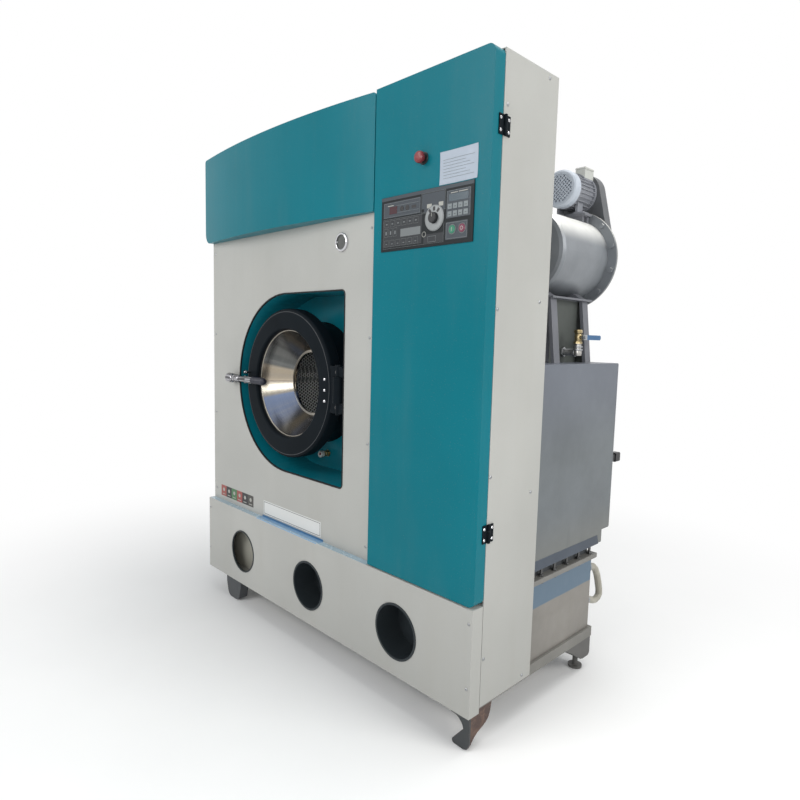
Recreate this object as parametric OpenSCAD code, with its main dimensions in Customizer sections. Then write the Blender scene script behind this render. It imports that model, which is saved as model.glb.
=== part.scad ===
// Dry cleaning machine with a round loading door, a control column and a rear still.
// The machine is drawn from its left front corner: u runs along the front, d runs back
// from the front plane of the plinth, and z runs up from the floor.

/* [Body] */
// Width of the body, without the overhang of the hood
body_w = 1500; // [1450:10:1560]
// Height of the underside of the base frame
foot_h = 100; // [80:5:130]
// Height of the plinth panel
plinth_h = 312; // [300:2:330]
// Height of the white front panel
panel_h = 1109; // [1090:1:1140]
// Height of the hood
hood_h = 348; // [330:1:380]
// Width of the column at the right
column_w = 436; // [420:2:450]
// Depth of the side panels and of the control column
side_d = 294; // [285:1:297]
// How far the front panel stands behind the plinth
panel_setback = 27; // [20:1:30]
// Thickness of the sheet metal
sheet = 2; // [1.5:0.5:3]
// Gap round doors and between covers
seam = 2; // [1:0.5:3]

/* [Plinth] */
// Depth of the folded returns at the plinth's ends
plinth_return = 45; // [40:1:46]
// Radius of the three portholes
porthole_r = 85; // [75:1:90]
// Place of the first porthole along the front
porthole_u = 290; // [280:1:300]
// Distance from the last porthole to the right end
porthole_end = 296; // [285:1:305]
// Height of the portholes' centres
porthole_z = 242; // [235:1:255]
// Depth of the collars behind the portholes
collar_d = 100; // [80:1:105]
// Thickness of the porthole rims
rim_t = 3; // [2.5:0.5:6]

/* [Hood] */
// How far the hood laps over the left side
hood_lap = 40; // [25:1:50]
// Gap between the hood and the column
hood_gap = 11; // [8:1:15]
// Setback of the hood's front edge at its ends
hood_setback = 12; // [8:1:16]
// Rise of the bowed front at its middle
hood_bow = 37; // [20:1:40]
// Radius of the hood's lower left corner
hood_corner = 45; // [30:1:60]

/* [Opening] */
// Distance from the body's left side to the opening
opening_margin = 223; // [215:1:230]
// Distance from the opening to the front panel's right edge
opening_end = 161; // [155:1:170]
// How far the opening's round side falls short of half its width
opening_shift = 6; // [2:1:10]
// Height of the drum axis
drum_z = 958; // [950:1:966]
// Radius of the opening's right corners
opening_corner = 15; // [8:1:25]
// Depth of the recess behind the front panel
recess_d = 168; // [160:1:172]
// Width of the recess pan's flange behind the front panel
pan_flange = 14; // [10:1:16]

/* [Loading door] */
// Gap between the door ring and the opening's round side
ring_gap = 54; // [50:1:62]
// Width of the ring's face
ring_w = 76; // [70:1:80]
// Thickness of the ring
ring_t = 50; // [45:1:55]
// Radius of the ring's rounded front edges
ring_edge = 12; // [6:1:16]
// Depth of the lip in front of the funnel
lip_d = 20; // [15:1:24]
// Depth of the funnel
funnel_d = 106; // [95:1:108]
// How much narrower the funnel's inner end is than its mouth
funnel_taper = 77; // [70:1:82]
// Radius of the hinge pin
pin_r = 8; // [7:0.5:9]
// Distance from the ring's edge to the axis of the hinge pin
pin_out = 33.5; // [32:0.5:35]
// Depth of the hinge pin behind the front plane of the plinth
pin_d = 30; // [29:0.5:32]
// Running clearance of pins and shafts, on the radius
fit = 0.05; // [0.03:0.01:0.08]
// Height of the hinge block
hinge_block_h = 160; // [150:2:170]

/* [Clamp] */
// Distance from the ring's edge in to the clamp's spindle
spindle_in = 22; // [20:1:24]
// Radius of the clamp's spindle
spindle_r = 8; // [7:0.5:9]
// Length of the grip to the right of the spindle
grip_l = 138; // [120:1:140]
// Length of the sleeve on each side of the spindle
sleeve_l = 62; // [55:1:64]
// Radius of the sleeve
sleeve_r = 11; // [10:0.5:12]
// Length of the knob
knob_l = 66; // [55:1:70]
// Radius of the knob over its corners
knob_r = 17; // [15:0.5:18]
// Distance from the clamp bar to the door ring's face
bar_lift = 22; // [20:0.5:24]

/* [Drum] */
// Gap between the tub and the left post
tub_gap = 51; // [50:1:60]
// Depth of the tub
tub_d = 404; // [395:1:410]
// Wall of the tub
tub_t = 3; // [2:0.5:4]
// Gap between the drum and the tub
cage_gap = 27; // [22:1:32]
// Depth of the drum
cage_d = 350; // [340:1:360]
// How far the tub's collar stands inside the door ring's edge
collar_in = 47; // [42:1:50]
// Wall of the drum
cage_t = 3; // [2:0.5:4]
// Diameter of the holes in the drum's back
hole_dia = 12; // [9:1:14]
// Distance between holes
hole_pitch = 23; // [21:0.5:27]
// Margin between the drum's mouth and the field of holes
hole_margin = 13; // [8:1:30]
// Number of lifters
lifters = 3; // [3:1:4]
// Height of the lifters
lifter_h = 62; // [50:1:70]
// Radius of the drum shaft
shaft_r = 25; // [22:1:28]
// Radius of the large drum pulley
drum_pulley_r = 230; // [215:1:235]
// Radius of the drive motor's pulley
drive_pulley_r = 52; // [45:1:58]
// Width of the belts
belt_w = 17; // [14:1:20]
// Thickness of the belts
belt_t = 9; // [7:0.5:10]

/* [Column] */
// Thickness of the column door
door_t = 41; // [38:1:43]
// How far the column door stands behind the plinth
door_setback = 4; // [3:0.5:6]
// Radius of the door's outer corners
door_corner = 22; // [12:1:30]
// Distance of the hinge axes in front of the side panels' rear face
hinge_out = 5; // [4.5:0.5:6]
// Length of the hinges
hinge_l = 50; // [44:1:60]
// Height of the lower hinge
lower_hinge_z = 617; // [600:1:640]
// Height of the upper hinge
upper_hinge_z = 1681; // [1670:1:1700]
// Radius of the hinge pins
hinge_pin_r = 2.5; // [2:0.1:2.8]

/* [Controls] */
// Left edge of the control panel
overlay_u = 1101; // [1090:1:1104]
// Width of the control panel
overlay_w = 350; // [345:1:360]
// Height of the control panel
overlay_h = 156; // [150:1:160]
// Height of its lower edge
overlay_z = 1392; // [1385:1:1400]
// Thickness of the control panel
overlay_t = 3; // [2:0.5:3]
// Radius of the programme dial
dial_r = 35; // [30:1:36]
// Radius of the start and stop buttons
key_r = 11; // [9:0.5:12]
// Radius of the red mushroom button
mushroom_r = 20; // [17:0.5:22]
// Height of the mushroom button
mushroom_z = 1634; // [1620:1:1650]
// Radius of the small sight glass in the front panel
sight_r = 31; // [27:1:34]

/* [Still] */
// Width of the still box
still_w = 380; // [360:2:390]
// Depth of the still box
still_d = 468; // [460:1:472]
// Height of the underside of the still box
still_z = 488; // [480:1:500]
// Height of the still box
still_h = 583; // [570:1:595]
// Gap between the column and the still box
still_gap = 5; // [4:0.5:8]
// Depth of the tank under the still
tank_d = 370; // [360:1:375]
// Height of the tank under the still
tank_h = 227; // [220:1:232]
// Thickness of the lower flange
flange_t = 15; // [12:1:16]
// Gap between the two flanges
flange_gap = 18; // [14:1:22]
// Height of the angle above the upper flange
angle_h = 38; // [32:1:44]
// Distance between the flange studs
stud_pitch = 75.5; // [70:0.5:78]

/* [Blower] */
// Height of the blower's axis
blower_z = 1430; // [1420:1:1440]
// Radius of the blower's casing
blower_r = 139; // [132:1:140]
// Distance from the still's front to the blower's front
blower_inset = 159; // [150:1:165]
// Length of the blower's casing
blower_l = 287; // [280:1:290]
// Radius of the bolted flange
blower_flange_r = 171; // [165:1:174]
// Thickness of each flange plate
flange_plate = 6; // [5:0.5:7]
// Number of bolts in the flange
flange_bolts_n = 12; // [10:1:14]
// Height of the motor's axis above the blower's axis
motor_rise = 236; // [234:1:242]
// Radius of the motor's body over its ribs
motor_r = 63; // [60:1:64]
// Number of ribs on the motor
ribs = 28; // [20:2:32]
// Radius of the fan wheel
fan_r = 118; // [105:1:122]
// Number of blades of the fan wheel
blades = 16; // [10:1:20]
// Radius of the fan pulley
fan_pulley_r = 96; // [85:1:100]
// Radius of the motor pulley
motor_pulley_r = 44; // [38:1:48]
// Length of the motor with its cowl
motor_l = 143; // [136:1:150]
// Gap between the blower's cover and the belt guard
guard_gap = 26; // [22:1:30]
// Depth of the belt guard
guard_d = 42; // [40:1:46]

/* [Hidden] */
$fn = 72;

top_z = foot_h + plinth_h + panel_h + hood_h;
plinth_top = foot_h + plinth_h;
hood_z = plinth_top + panel_h;
hinge_reach = 2 * hinge_out;
front_reach = hood_bow - hood_setback;
still_front = side_d + still_gap;
still_rear = still_front + still_d;
flange_plate_back = still_front + blower_inset + blower_l + flange_plate;
cover_back = flange_plate_back + flange_plate;
guard_front = cover_back + guard_gap;
rear_reach = guard_front + guard_d;
left_x = hood_lap - (body_w + hinge_reach + hood_lap) / 2;
front_y = -(rear_reach - front_reach) / 2;
seat = 0.3;

post = 40;
front_w = body_w - column_w - seam;
opening_w = front_w - opening_margin - opening_end;
opening_r = opening_w / 2 - opening_shift;
opening_right = opening_w / 2 + opening_shift;
drum_u = opening_margin + opening_r;
ring_r = opening_r - ring_gap;
mouth_r = ring_r - ring_w;
funnel_r = mouth_r - funnel_taper;
collar_r = ring_r - collar_in;
tub_r = drum_u - sheet - post - tub_gap;
cage_r = tub_r - cage_gap;
cage_mouth = collar_r - 14;
hole_field = cage_mouth - hole_margin;
porthole_pitch = (body_w - porthole_u - porthole_end) / 2;

// ---- helpers: solids placed by u, d and z ----

function arc(cx, cy, r, a0, a1, n = 8) =
    [for (i = [0:n]) let (a = a0 + (a1 - a0) * i / n) [cx + r * cos(a), cy + r * sin(a)]];

function rounded(x0, x1, y0, y1, r) = concat(
    arc(x1 - r, y1 - r, r, 0, 90),
    arc(x0 + r, y1 - r, r, 90, 180),
    arc(x0 + r, y0 + r, r, 180, 270),
    arc(x1 - r, y0 + r, r, 270, 360));

module place() translate([left_x, front_y, 0]) children();

module block(u, d, z)
    place() translate([u[0], d[0], z[0]]) cube([u[1] - u[0], d[1] - d[0], z[1] - z[0]]);

// a rod along the depth
module rod_d(u, z, r, d) place() translate([u, d[0], z]) rotate([-90, 0, 0]) cylinder(r = r, h = d[1] - d[0]);

// a rod along the front
module rod_u(d, z, r, u) place() translate([u[0], d, z]) rotate([0, 90, 0]) cylinder(r = r, h = u[1] - u[0]);

// an upright rod
module rod_z(u, d, r, z) place() translate([u, d, z[0]]) cylinder(r = r, h = z[1] - z[0]);

// an outline in (u, z) given a depth
module front_plate(d) place() translate([0, d[1], 0]) rotate([90, 0, 0]) linear_extrude(d[1] - d[0]) children();

// an outline in (d, z) given a width along the front
module side_plate(u) place() translate([u[0], 0, 0]) rotate([90, 0, 90]) linear_extrude(u[1] - u[0]) children();

// an outline in (u, d) given a height
module flat_plate(z) place() translate([0, 0, z[0]]) linear_extrude(z[1] - z[0]) children();

// a turned part about an axis along the depth, its outline given in (r, d)
module turned(u, z) place() translate([u, 0, z]) rotate([-90, 0, 0]) rotate_extrude() children();

// ---- base and frame ----

rail_low = foot_h + 12;
rail_w = 60;
base_d = still_rear - 86;
base_top = foot_h + 46;
side_low = foot_h + 17;
post_right = front_w - sheet;
post_rear = base_d - rail_w - 1;
mid_rail_z = 395;
top_rail_z = 1400;
column_u = body_w - column_w;
panel_back = panel_setback + sheet;
cradle_d = [250, 520];
still_right = body_w - 5;
still_left = still_right - still_w;

module channel_d(u, open_right) difference() {
    block([u, u + rail_w], [sheet, base_d], [rail_low, base_top]);
    block([open_right ? u + 5 : u - 1, open_right ? u + rail_w + 1 : u + rail_w - 5],
        [sheet + rail_w, base_d - rail_w], [rail_low + 5, base_top - 5]);
}

module base_frame() color("dimgray") union() {
    channel_d(sheet, true);
    channel_d(body_w - sheet - rail_w, false);
    for (d = [sheet, base_d - rail_w])
        block([sheet + 1, body_w - sheet - 1], [d, d + rail_w], [rail_low, base_top]);
    for (u = [drum_u - 76, still_left - 20])
        block([u, u + rail_w], [sheet + 1, base_d - 1], [rail_low, base_top]);
}

foot_u = 122;
foot_w = 117;
module front_left_foot() color("dimgray") front_plate([sheet + 16, sheet + 56])
    polygon(concat([[foot_u, rail_low], [foot_u, foot_h * 0.62]],
        arc(foot_u + foot_w * 0.34, foot_h * 0.3, foot_h * 0.3, 195, 270),
        arc(foot_u + foot_w * 0.66, foot_h * 0.3, foot_h * 0.3, 270, 345),
        [[foot_u + foot_w, foot_h * 0.66], [foot_u + foot_w, rail_low]]));

leg_right = body_w - sheet;
leg_front = 8;
leg_t = 10;
// a cast leg: both of its faces narrow to an ankle, and its toe points to the left
module front_right_leg() color("#5d3f33") union() {
    front_plate([leg_front, leg_front + leg_t])
        polygon(concat([[leg_right - 70, rail_low], [leg_right - 68, foot_h * 0.9]],
            arc(leg_right - 60, foot_h * 0.52, 39, 100, 12, 6),
            arc(leg_right - 52, foot_h * 0.1, 9, 130, 260, 5),
            [[leg_right - 22, 0], [leg_right - 8, 4], [leg_right, foot_h * 0.2], [leg_right, rail_low]]));
    side_plate([leg_right - leg_t, leg_right])
        polygon([[leg_front + 5, rail_low], [leg_front + 5, foot_h * 0.19], [leg_front + 12, foot_h * 0.24],
            [leg_front + 24, foot_h * 0.35], [leg_front + 38, foot_h * 0.44], [leg_front + 56, foot_h * 0.5],
            [leg_front + 72, foot_h * 0.57], [leg_front + 84, foot_h * 0.66], [leg_front + 93, foot_h * 0.84],
            [leg_front + 98, rail_low]]);
}

foot_back = base_d - 4;
foot_sole = foot_h * 0.43;
pad_d = foot_back - 36;
// a folded foot with a levelling stud and its pad
module rear_foot(u) {
    side_plate([u, u + 66]) polygon(concat([[foot_back - 160, rail_low], [foot_back - 60, foot_sole + 4]],
        arc(foot_back - 44, foot_sole + 9, 9, 230, 270, 3), arc(foot_back - 14, foot_sole + 14, 14, 270, 360),
        [[foot_back, rail_low]]));
    rod_z(u + 33, pad_d, 9, [2, foot_sole + 1]);
    rod_z(u + 33, pad_d, 24, [0, 8]);
}

module rear_feet() color("gray") union() {
    rear_foot(body_w - sheet - 67);
    rear_foot(sheet + 1);
}

drive_r = 84;
drive_u = post_right - post - drive_r - 6;
cradle_w = 2 * (drive_u - drive_r - 20 - drum_u);
cradle_h = 150;
module cradle(d) difference() {
    front_plate([d + 10, d + 30]) polygon([
        [drum_u - cradle_w / 2, mid_rail_z + post - 1], [drum_u + cradle_w / 2, mid_rail_z + post - 1],
        [drum_u + cradle_w / 2 + 20, mid_rail_z + post + cradle_h],
        [drum_u - cradle_w / 2 - 20, mid_rail_z + post + cradle_h]]);
    rod_d(drum_u, drum_z, tub_r + seat, [d, d + post]);
}

// posts, rails, cross beams and the two plates that cradle the tub
module upright_frame() color("dimgray") union() {
    for (d = cradle_d) cradle(d);
    for (u = [sheet, post_right - post]) {
        for (d = [panel_back, post_rear])
            block([u, u + post], [d, d + post], [base_top, top_rail_z + post]);
        for (z = [mid_rail_z, top_rail_z])
            block([u, u + post], [panel_back + 1, post_rear + 1], [z, z + post]);
    }
    for (d = [cradle_d[0], cradle_d[1], post_rear])
        block([sheet + 1, post_right - 1], [d, d + post], [mid_rail_z, mid_rail_z + post]);
    for (d = [panel_back, post_rear])
        block([sheet + 1, post_right - 1], [d, d + post], [top_rail_z, top_rail_z + post]);
}

solvent_front = plinth_return + 3;
solvent_back = cradle_d[1] + post;
solvent_right = porthole_u + porthole_pitch - porthole_r - 20;
tank_wall = 4;
// a closed box of sheet, hollow inside
module hollow_box(u, d, z, wall) difference() {
    block(u, d, z);
    block([u[0] + wall, u[1] - wall], [d[0] + wall, d[1] - wall], [z[0] + wall, z[1] - wall]);
}

module solvent_tank() color("silver") hollow_box([sheet + post + 3, solvent_right],
    [solvent_front, solvent_back], [base_top, mid_rail_z - 5], tank_wall);

// ---- plinth and front ----

module plinth_panel() color("whitesmoke") difference() {
    union() {
        block([0, body_w], [0, sheet], [foot_h, plinth_top]);
        block([0, sheet], [sheet, plinth_return], [foot_h, plinth_top]);
        block([body_w - sheet, body_w], [sheet, plinth_return], [foot_h, plinth_top]);
        block([sheet, column_u - seam], [sheet, panel_back], [plinth_top - sheet, plinth_top]);
        block([column_u - seam, body_w - sheet], [sheet, plinth_return],
            [plinth_top - sheet, plinth_top]);
    }
    for (i = [0:2]) rod_d(porthole_u + i * porthole_pitch, porthole_z, porthole_r, [-1, sheet + 1]);
}

// the bare rim of the first porthole
module rim() turned(porthole_u, porthole_z)
    polygon([[porthole_r - rim_t, -sheet], [porthole_r + 2, -sheet], [porthole_r + 2, 0],
        [porthole_r - seat, 0], [porthole_r - seat, sheet + 2], [porthole_r - rim_t, sheet + 2]]);

module collar(u) turned(u, porthole_z)
    polygon([[porthole_r - rim_t, -sheet], [porthole_r + 4, -sheet], [porthole_r + 4, 0],
        [porthole_r - seat, 0], [porthole_r - seat, collar_d], [porthole_r * 0.5, collar_d],
        [porthole_r * 0.5, collar_d - 8], [porthole_r - rim_t, collar_d - 8]]);

// the rim and two dark collars, each with a lens in front of its back wall
module porthole_collars() color("#222426") union() {
    rim();
    for (i = [1:2]) {
        collar(porthole_u + i * porthole_pitch);
        rod_d(porthole_u + i * porthole_pitch, porthole_z, porthole_r * 0.66,
            [collar_d - 14, collar_d - 8 - seat]);
    }
}

opening_left = drum_u - opening_r;
opening_edge = drum_u + opening_right;

// the D outline, grown outwards by g
module d_outline(g) polygon(concat(
    arc(drum_u, drum_z, opening_r + g, 90, 270, 36),
    arc(opening_edge - opening_corner, drum_z - opening_r + opening_corner, opening_corner + g, 270, 360),
    arc(opening_edge - opening_corner, drum_z + opening_r - opening_corner, opening_corner + g, 0, 90)));

sight_u = front_w - 178;
sight_z = 1446;
module front_panel() color("gainsboro") difference() {
    block([0, column_u - seam], [panel_setback, panel_back], [plinth_top, hood_z]);
    front_plate([panel_setback - 1, panel_back + 1]) d_outline(0);
    rod_d(sight_u, sight_z, sight_r - 6, [panel_setback - 1, panel_back + 1]);
}

recess_back = panel_back + recess_d;
module recess_pan() color("teal") difference() {
    union() {
        front_plate([panel_back, recess_back]) d_outline(sheet);
        front_plate([panel_back, panel_back + sheet]) d_outline(pan_flange);
    }
    front_plate([panel_back - 1, recess_back - sheet]) d_outline(0);
    rod_d(drum_u, drum_z, collar_r + 4, [panel_back, recess_back + 1]);
}

module sight_glass() color("silver") turned(sight_u, sight_z)
    polygon(concat([[0, panel_setback - 4], [sight_r - 7, panel_setback - 3],
        [sight_r - 7, panel_setback - 7]], arc(sight_r - 4, panel_setback - 4, 3.6, 230, 360, 6),
        [[sight_r, panel_setback], [sight_r - 6 - seat, panel_setback],
        [sight_r - 6 - seat, panel_back], [0, panel_back]]));

bow_w = column_u - seam + hood_lap - hood_gap;
bow_r = (pow(bow_w / 2, 2) + pow(hood_bow, 2)) / (2 * hood_bow);
bow_a = asin(bow_w / 2 / bow_r);
hood_mid = -hood_lap + bow_w / 2;

// the bowed plan of the hood, shrunk by g
module bowed_plan(g) polygon(concat(
    [[-hood_lap + g, side_d], [-hood_lap + g, hood_setback + g]],
    arc(hood_mid, hood_setback - hood_bow + bow_r, bow_r - g, 270 - bow_a * 0.997, 270 + bow_a * 0.997, 30),
    [[-hood_lap + bow_w - g, hood_setback + g], [-hood_lap + bow_w - g, side_d]]));

// the front view of the hood, shrunk by g
module hood_view(g) polygon(concat(
    arc(-hood_lap + hood_corner, hood_z + hood_corner, hood_corner - g, 180, 270),
    arc(-hood_lap + bow_w - 6, hood_z + 6, 6 - g, 270, 360, 3),
    arc(-hood_lap + bow_w - 10, top_z - 10, 10 - g, 0, 90, 4),
    arc(-hood_lap + 10, top_z - 10, 10 - g, 90, 180, 4)));

module hood_solid(g, z, d) intersection() {
    flat_plate(z) bowed_plan(g);
    front_plate(d) hood_view(g);
}

module hood_cover() color("teal") difference() {
    hood_solid(0, [hood_z, top_z], [-hood_bow - 40, side_d]);
    hood_solid(sheet, [hood_z + sheet, top_z - sheet], [-hood_bow, side_d + 1]);
    block([sheet, bow_w], [panel_back, side_d + 1], [hood_z - 1, hood_z + 40]);
}

module left_panel() union() {
    block([0, sheet], [plinth_return + seam, side_d], [side_low, plinth_top]);
    block([0, sheet], [panel_back, side_d], [plinth_top, hood_z]);
}

module right_panel() union() {
    block([body_w - sheet, body_w], [plinth_return + seam, side_d], [side_low, top_z]);
    block([body_w - 14, body_w - sheet], [side_d - sheet, side_d], [base_top, top_z]);
}

module side_panels() color("whitesmoke") {
    left_panel();
    right_panel();
}

// ---- column ----

cabinet_front = plinth_return + seam;
cabinet_back = side_d - sheet;
module column_cabinet() color("lightgray") difference() {
    block([column_u, body_w - sheet], [cabinet_front, cabinet_back], [base_top, top_z]);
    block([column_u + sheet, body_w - 2 * sheet], [cabinet_front - 1, cabinet_back - sheet],
        [plinth_top + sheet, top_z - sheet]);
    block([column_u + sheet, body_w - 2 * sheet], [cabinet_front - 1, cabinet_back - sheet],
        [base_top - 1, plinth_top]);
}

plate_back = cabinet_back - sheet;
plate_front = plate_back - 3;
gear_u = column_u + 60;
gear_w = column_w - 120;
gear_d = 70;
row_pitch = gear_w / 4;
breaker_pitch = gear_w / 6;
contactor_z = top_z - 690;
breaker_z = contactor_z - 170;
transformer_z = breaker_z - 250;
terminal_z = transformer_z - 160;

// a block of gear on the plate
module gear(u, w, d, z, h) block([u, u + w], [plate_front - d, plate_front], [z, z + h]);

// plate with the contactors, the row of breakers, the transformer, the drive and the terminals
module switchgear() color("#3a3d42") union() {
    block([column_u + 40, body_w - 40], [plate_front, plate_back], [plinth_top + 120, top_z - 300]);
    for (i = [0:3]) difference() {
        gear(gear_u + i * row_pitch, row_pitch - 16, gear_d, contactor_z, 85);
        block([gear_u + i * row_pitch + 8, gear_u + (i + 1) * row_pitch - 24],
            [plate_front - gear_d - 1, plate_front - gear_d + 15], [contactor_z + 20, contactor_z + 65]);
    }
    for (i = [0:5])
        gear(gear_u + i * breaker_pitch, breaker_pitch - 6, gear_d - 10, breaker_z, 85);
    gear(gear_u, gear_w / 2 - 10, gear_d + 20, transformer_z, 140);
    gear(gear_u + gear_w / 2 + 20, gear_w / 2 - 30, gear_d - 25, transformer_z - 40, 180);
    gear(gear_u, gear_w, gear_d - 45, terminal_z, 40);
}

door_left = column_u;
door_front = door_setback;
door_back = door_setback + door_t;
door_low = plinth_top + seam + 1;
overlay_top = overlay_z + overlay_h;
dial_u = overlay_u + 215;
dial_z = overlay_z + 75;
start_u = overlay_u + 279.5;
stop_u = overlay_u + 314;
key_z = overlay_z + 38;
key_stem = 5;
dial_stem = 4;
mushroom_u = 1266;

module door_view(g) polygon(concat(
    [[door_left + g, door_low + g]],
    arc(body_w - door_corner, door_low + door_corner, door_corner - g, 270, 360),
    arc(body_w - door_corner, top_z - door_corner, door_corner - g, 0, 90),
    [[door_left + g, top_z - g]]));

// the door's skin, with the holes for the controls
module column_door() color("teal") difference() {
    front_plate([door_front, door_front + sheet]) door_view(0);
    rod_d(mushroom_u, mushroom_z, 14, [door_front - 1, door_front + sheet + 1]);
    rod_d(start_u, key_z, key_stem + fit, [door_front - 1, door_front + sheet + 1]);
    rod_d(stop_u, key_z, key_stem + fit, [door_front - 1, door_front + sheet + 1]);
    rod_d(dial_u, dial_z, dial_stem + fit, [door_front - 1, door_front + sheet + 1]);
}

// the folded frame behind the skin
module door_frame() color("teal") difference() {
    front_plate([door_front + sheet, door_back]) door_view(0);
    front_plate([door_front + sheet - 1, door_back + 1]) door_view(sheet);
}

hinge_u = body_w + hinge_out;
hinge_d = (door_back + cabinet_front + 8) / 2;
knuckle_r = hinge_out - seat;
leaf_t = 3;
leaf_w = 22;
knuckle_l = hinge_l / 3;

module knuckle(z, h, bore) difference() {
    rod_z(hinge_u, hinge_d, knuckle_r, [z, z + h]);
    rod_z(hinge_u, hinge_d, bore, [z - 1, z + h + 1]);
}

// the leaf on the side panel, with two knuckles and the pin
module cabinet_hinge(z) {
    low = z - hinge_l / 2;
    union() {
        difference() {
            union() {
                block([body_w, body_w + leaf_t], [hinge_d + 1, hinge_d + 1 + leaf_w], [low, low + hinge_l]);
                for (s = [0, 2]) rod_z(hinge_u, hinge_d, knuckle_r, [low + s * knuckle_l, low + (s + 1) * knuckle_l]);
            }
            rod_z(hinge_u, hinge_d, knuckle_r + seat, [low + knuckle_l, low + 2 * knuckle_l]);
        }
        rod_z(hinge_u, hinge_d, hinge_pin_r, [low - 1.5, low + hinge_l + 1.5]);
    }
}

// the leaf on the door, with the middle knuckle
module door_hinge(z) {
    low = z - hinge_l / 2;
    difference() {
        union() {
            difference() {
                block([body_w, body_w + leaf_t], [hinge_d - 1 - leaf_w, hinge_d - 1], [low, low + hinge_l]);
                for (s = [0, 2]) rod_z(hinge_u, hinge_d, knuckle_r + seat,
                    [low + s * knuckle_l - 1, low + (s + 1) * knuckle_l + 0.5]);
            }
            rod_z(hinge_u, hinge_d, knuckle_r, [low + knuckle_l + seat, low + 2 * knuckle_l - seat]);
        }
        rod_z(hinge_u, hinge_d, hinge_pin_r + fit, [low, low + hinge_l]);
    }
}

module cabinet_hinges() color("#1a1a1c") union() {
    cabinet_hinge(lower_hinge_z);
    cabinet_hinge(upper_hinge_z);
}

module door_hinges() color("#1a1a1c") union() {
    door_hinge(lower_hinge_z);
    door_hinge(upper_hinge_z);
}

overlay_front = door_front - overlay_t;
module control_panel() color("#2b2b30") difference() {
    block([overlay_u, overlay_u + overlay_w], [overlay_front, door_front], [overlay_z, overlay_top]);
    for (u = [start_u, stop_u]) rod_d(u, key_z, key_r + seat, [overlay_front - 1, door_front + 1]);
    rod_d(dial_u, dial_z, dial_stem + seat, [overlay_front - 1, door_front + 1]);
    block([overlay_u + 265, overlay_u + 330], [overlay_front - 1, overlay_front + 1], [overlay_z + 110, overlay_z + 130]);
}

module program_dial() color("silver") difference() {
    union() {
        turned(dial_u, dial_z) polygon([[0, overlay_front - 12], [9, overlay_front - 12],
            [11, overlay_front - 10], [11, overlay_front - 4], [dial_r - 3, overlay_front - 3.5],
            [dial_r, overlay_front - 2], [dial_r, overlay_front - seat], [0, overlay_front - seat]]);
        rod_d(dial_u, dial_z, dial_stem, [overlay_front - 1, door_front + 12]);
    }
    block([dial_u - 1, dial_u + 1], [overlay_front - 13, overlay_front - 11], [dial_z + 2, dial_z + 12]);
}

key_travel = 1.5;
module key_button(u) union() {
    turned(u, key_z) polygon([[0, overlay_front - 3], [key_r - 2, overlay_front - 3],
        [key_r, overlay_front - 1.5], [key_r, door_front - key_travel - 0.5], [0, door_front - key_travel - 0.5]]);
    rod_d(u, key_z, key_stem, [door_front - key_travel - 1, door_front + 10]);
}

module start_button() color("seagreen") key_button(start_u);
module stop_button() color("firebrick") key_button(stop_u);

mushroom_travel = 5;
mushroom_stem = 8;
collar_flange = 4;
module emergency_button() color("crimson") union() {
    turned(mushroom_u, mushroom_z) polygon([[0, -24], [mushroom_r - 7, -24], [mushroom_r - 2, -21],
        [mushroom_r, -16], [mushroom_r, -10], [mushroom_r - 3, -7],
        [0, -7]]);
    rod_d(mushroom_u, mushroom_z, mushroom_stem, [-8, door_front + 24]);
}

module button_collar() color("#202022") turned(mushroom_u, mushroom_z) polygon([
    [mushroom_stem + fit, door_front - collar_flange], [16, door_front - collar_flange],
    [17, door_front - collar_flange + 1], [17, door_front], [14 - seat, door_front],
    [14 - seat, door_front + 16], [mushroom_stem + fit, door_front + 16]]);

// ---- loading door ----

ring_front = panel_setback;
ring_back = ring_front + ring_t;
funnel_front = ring_front + lip_d;
funnel_back = funnel_front + funnel_d;
rebate = 5;
pin_u = drum_u + ring_r + pin_out;

spindle_u = drum_u - ring_r + spindle_in;
bar_d = ring_front - bar_lift;
stop_up = 30;
stop_r = 5;

// the ring with its bore for the clamp's spindle and the stud that stops the clamp
module door_ring() color("#1c1e20") union() {
    ring_body();
    rod_d(spindle_u + 4, drum_z + stop_up, stop_r, [bar_d - 2, ring_front + 1]);
    rod_d(spindle_u + 4, drum_z + stop_up, stop_r + 2, [bar_d - 4, bar_d - 1]);
}

module ring_body() difference() {
    turned(drum_u, drum_z) polygon(concat(
        arc(mouth_r + 8, ring_front + 8, 8, 180, 270, 5),
        arc(ring_r - ring_edge, ring_front + ring_edge, ring_edge, 270, 360, 6),
        [[ring_r, ring_back - 3], [ring_r - 3, ring_back], [mouth_r + rebate, ring_back],
        [mouth_r + rebate, funnel_front], [mouth_r, funnel_front]]));
    rod_d(spindle_u, drum_z, spindle_r + fit, [ring_front - 1, ring_back + 1]);
}

// a stainless cone with a front flange and a rear lip
module door_funnel() color("silver") turned(drum_u, drum_z) polygon([
    [mouth_r - 6, funnel_front], [mouth_r + rebate - seat, funnel_front],
    [mouth_r + rebate - seat, funnel_front + 3], [mouth_r - 2, funnel_front + 3],
    [funnel_r + 3, funnel_back - 3], [funnel_r + 9, funnel_back - 3], [funnel_r + 9, funnel_back],
    [funnel_r - 4, funnel_back], [funnel_r - 4, funnel_back - 3], [funnel_r, funnel_back - 4]]);

glass_t = 8;
module door_glass() color("lightblue", 0.4)
    rod_d(drum_u, drum_z, funnel_r + 4, [funnel_back, funnel_back + glass_t]);

module glass_retainer() color("silver") turned(drum_u, drum_z) polygon([
    [funnel_r + 4 + seat, funnel_back], [funnel_r + 9, funnel_back],
    [funnel_r + 9, funnel_back + glass_t + 3], [funnel_r - 2, funnel_back + glass_t + 3],
    [funnel_r - 2, funnel_back + glass_t], [funnel_r + 4 + seat, funnel_back + glass_t]]);

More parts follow.
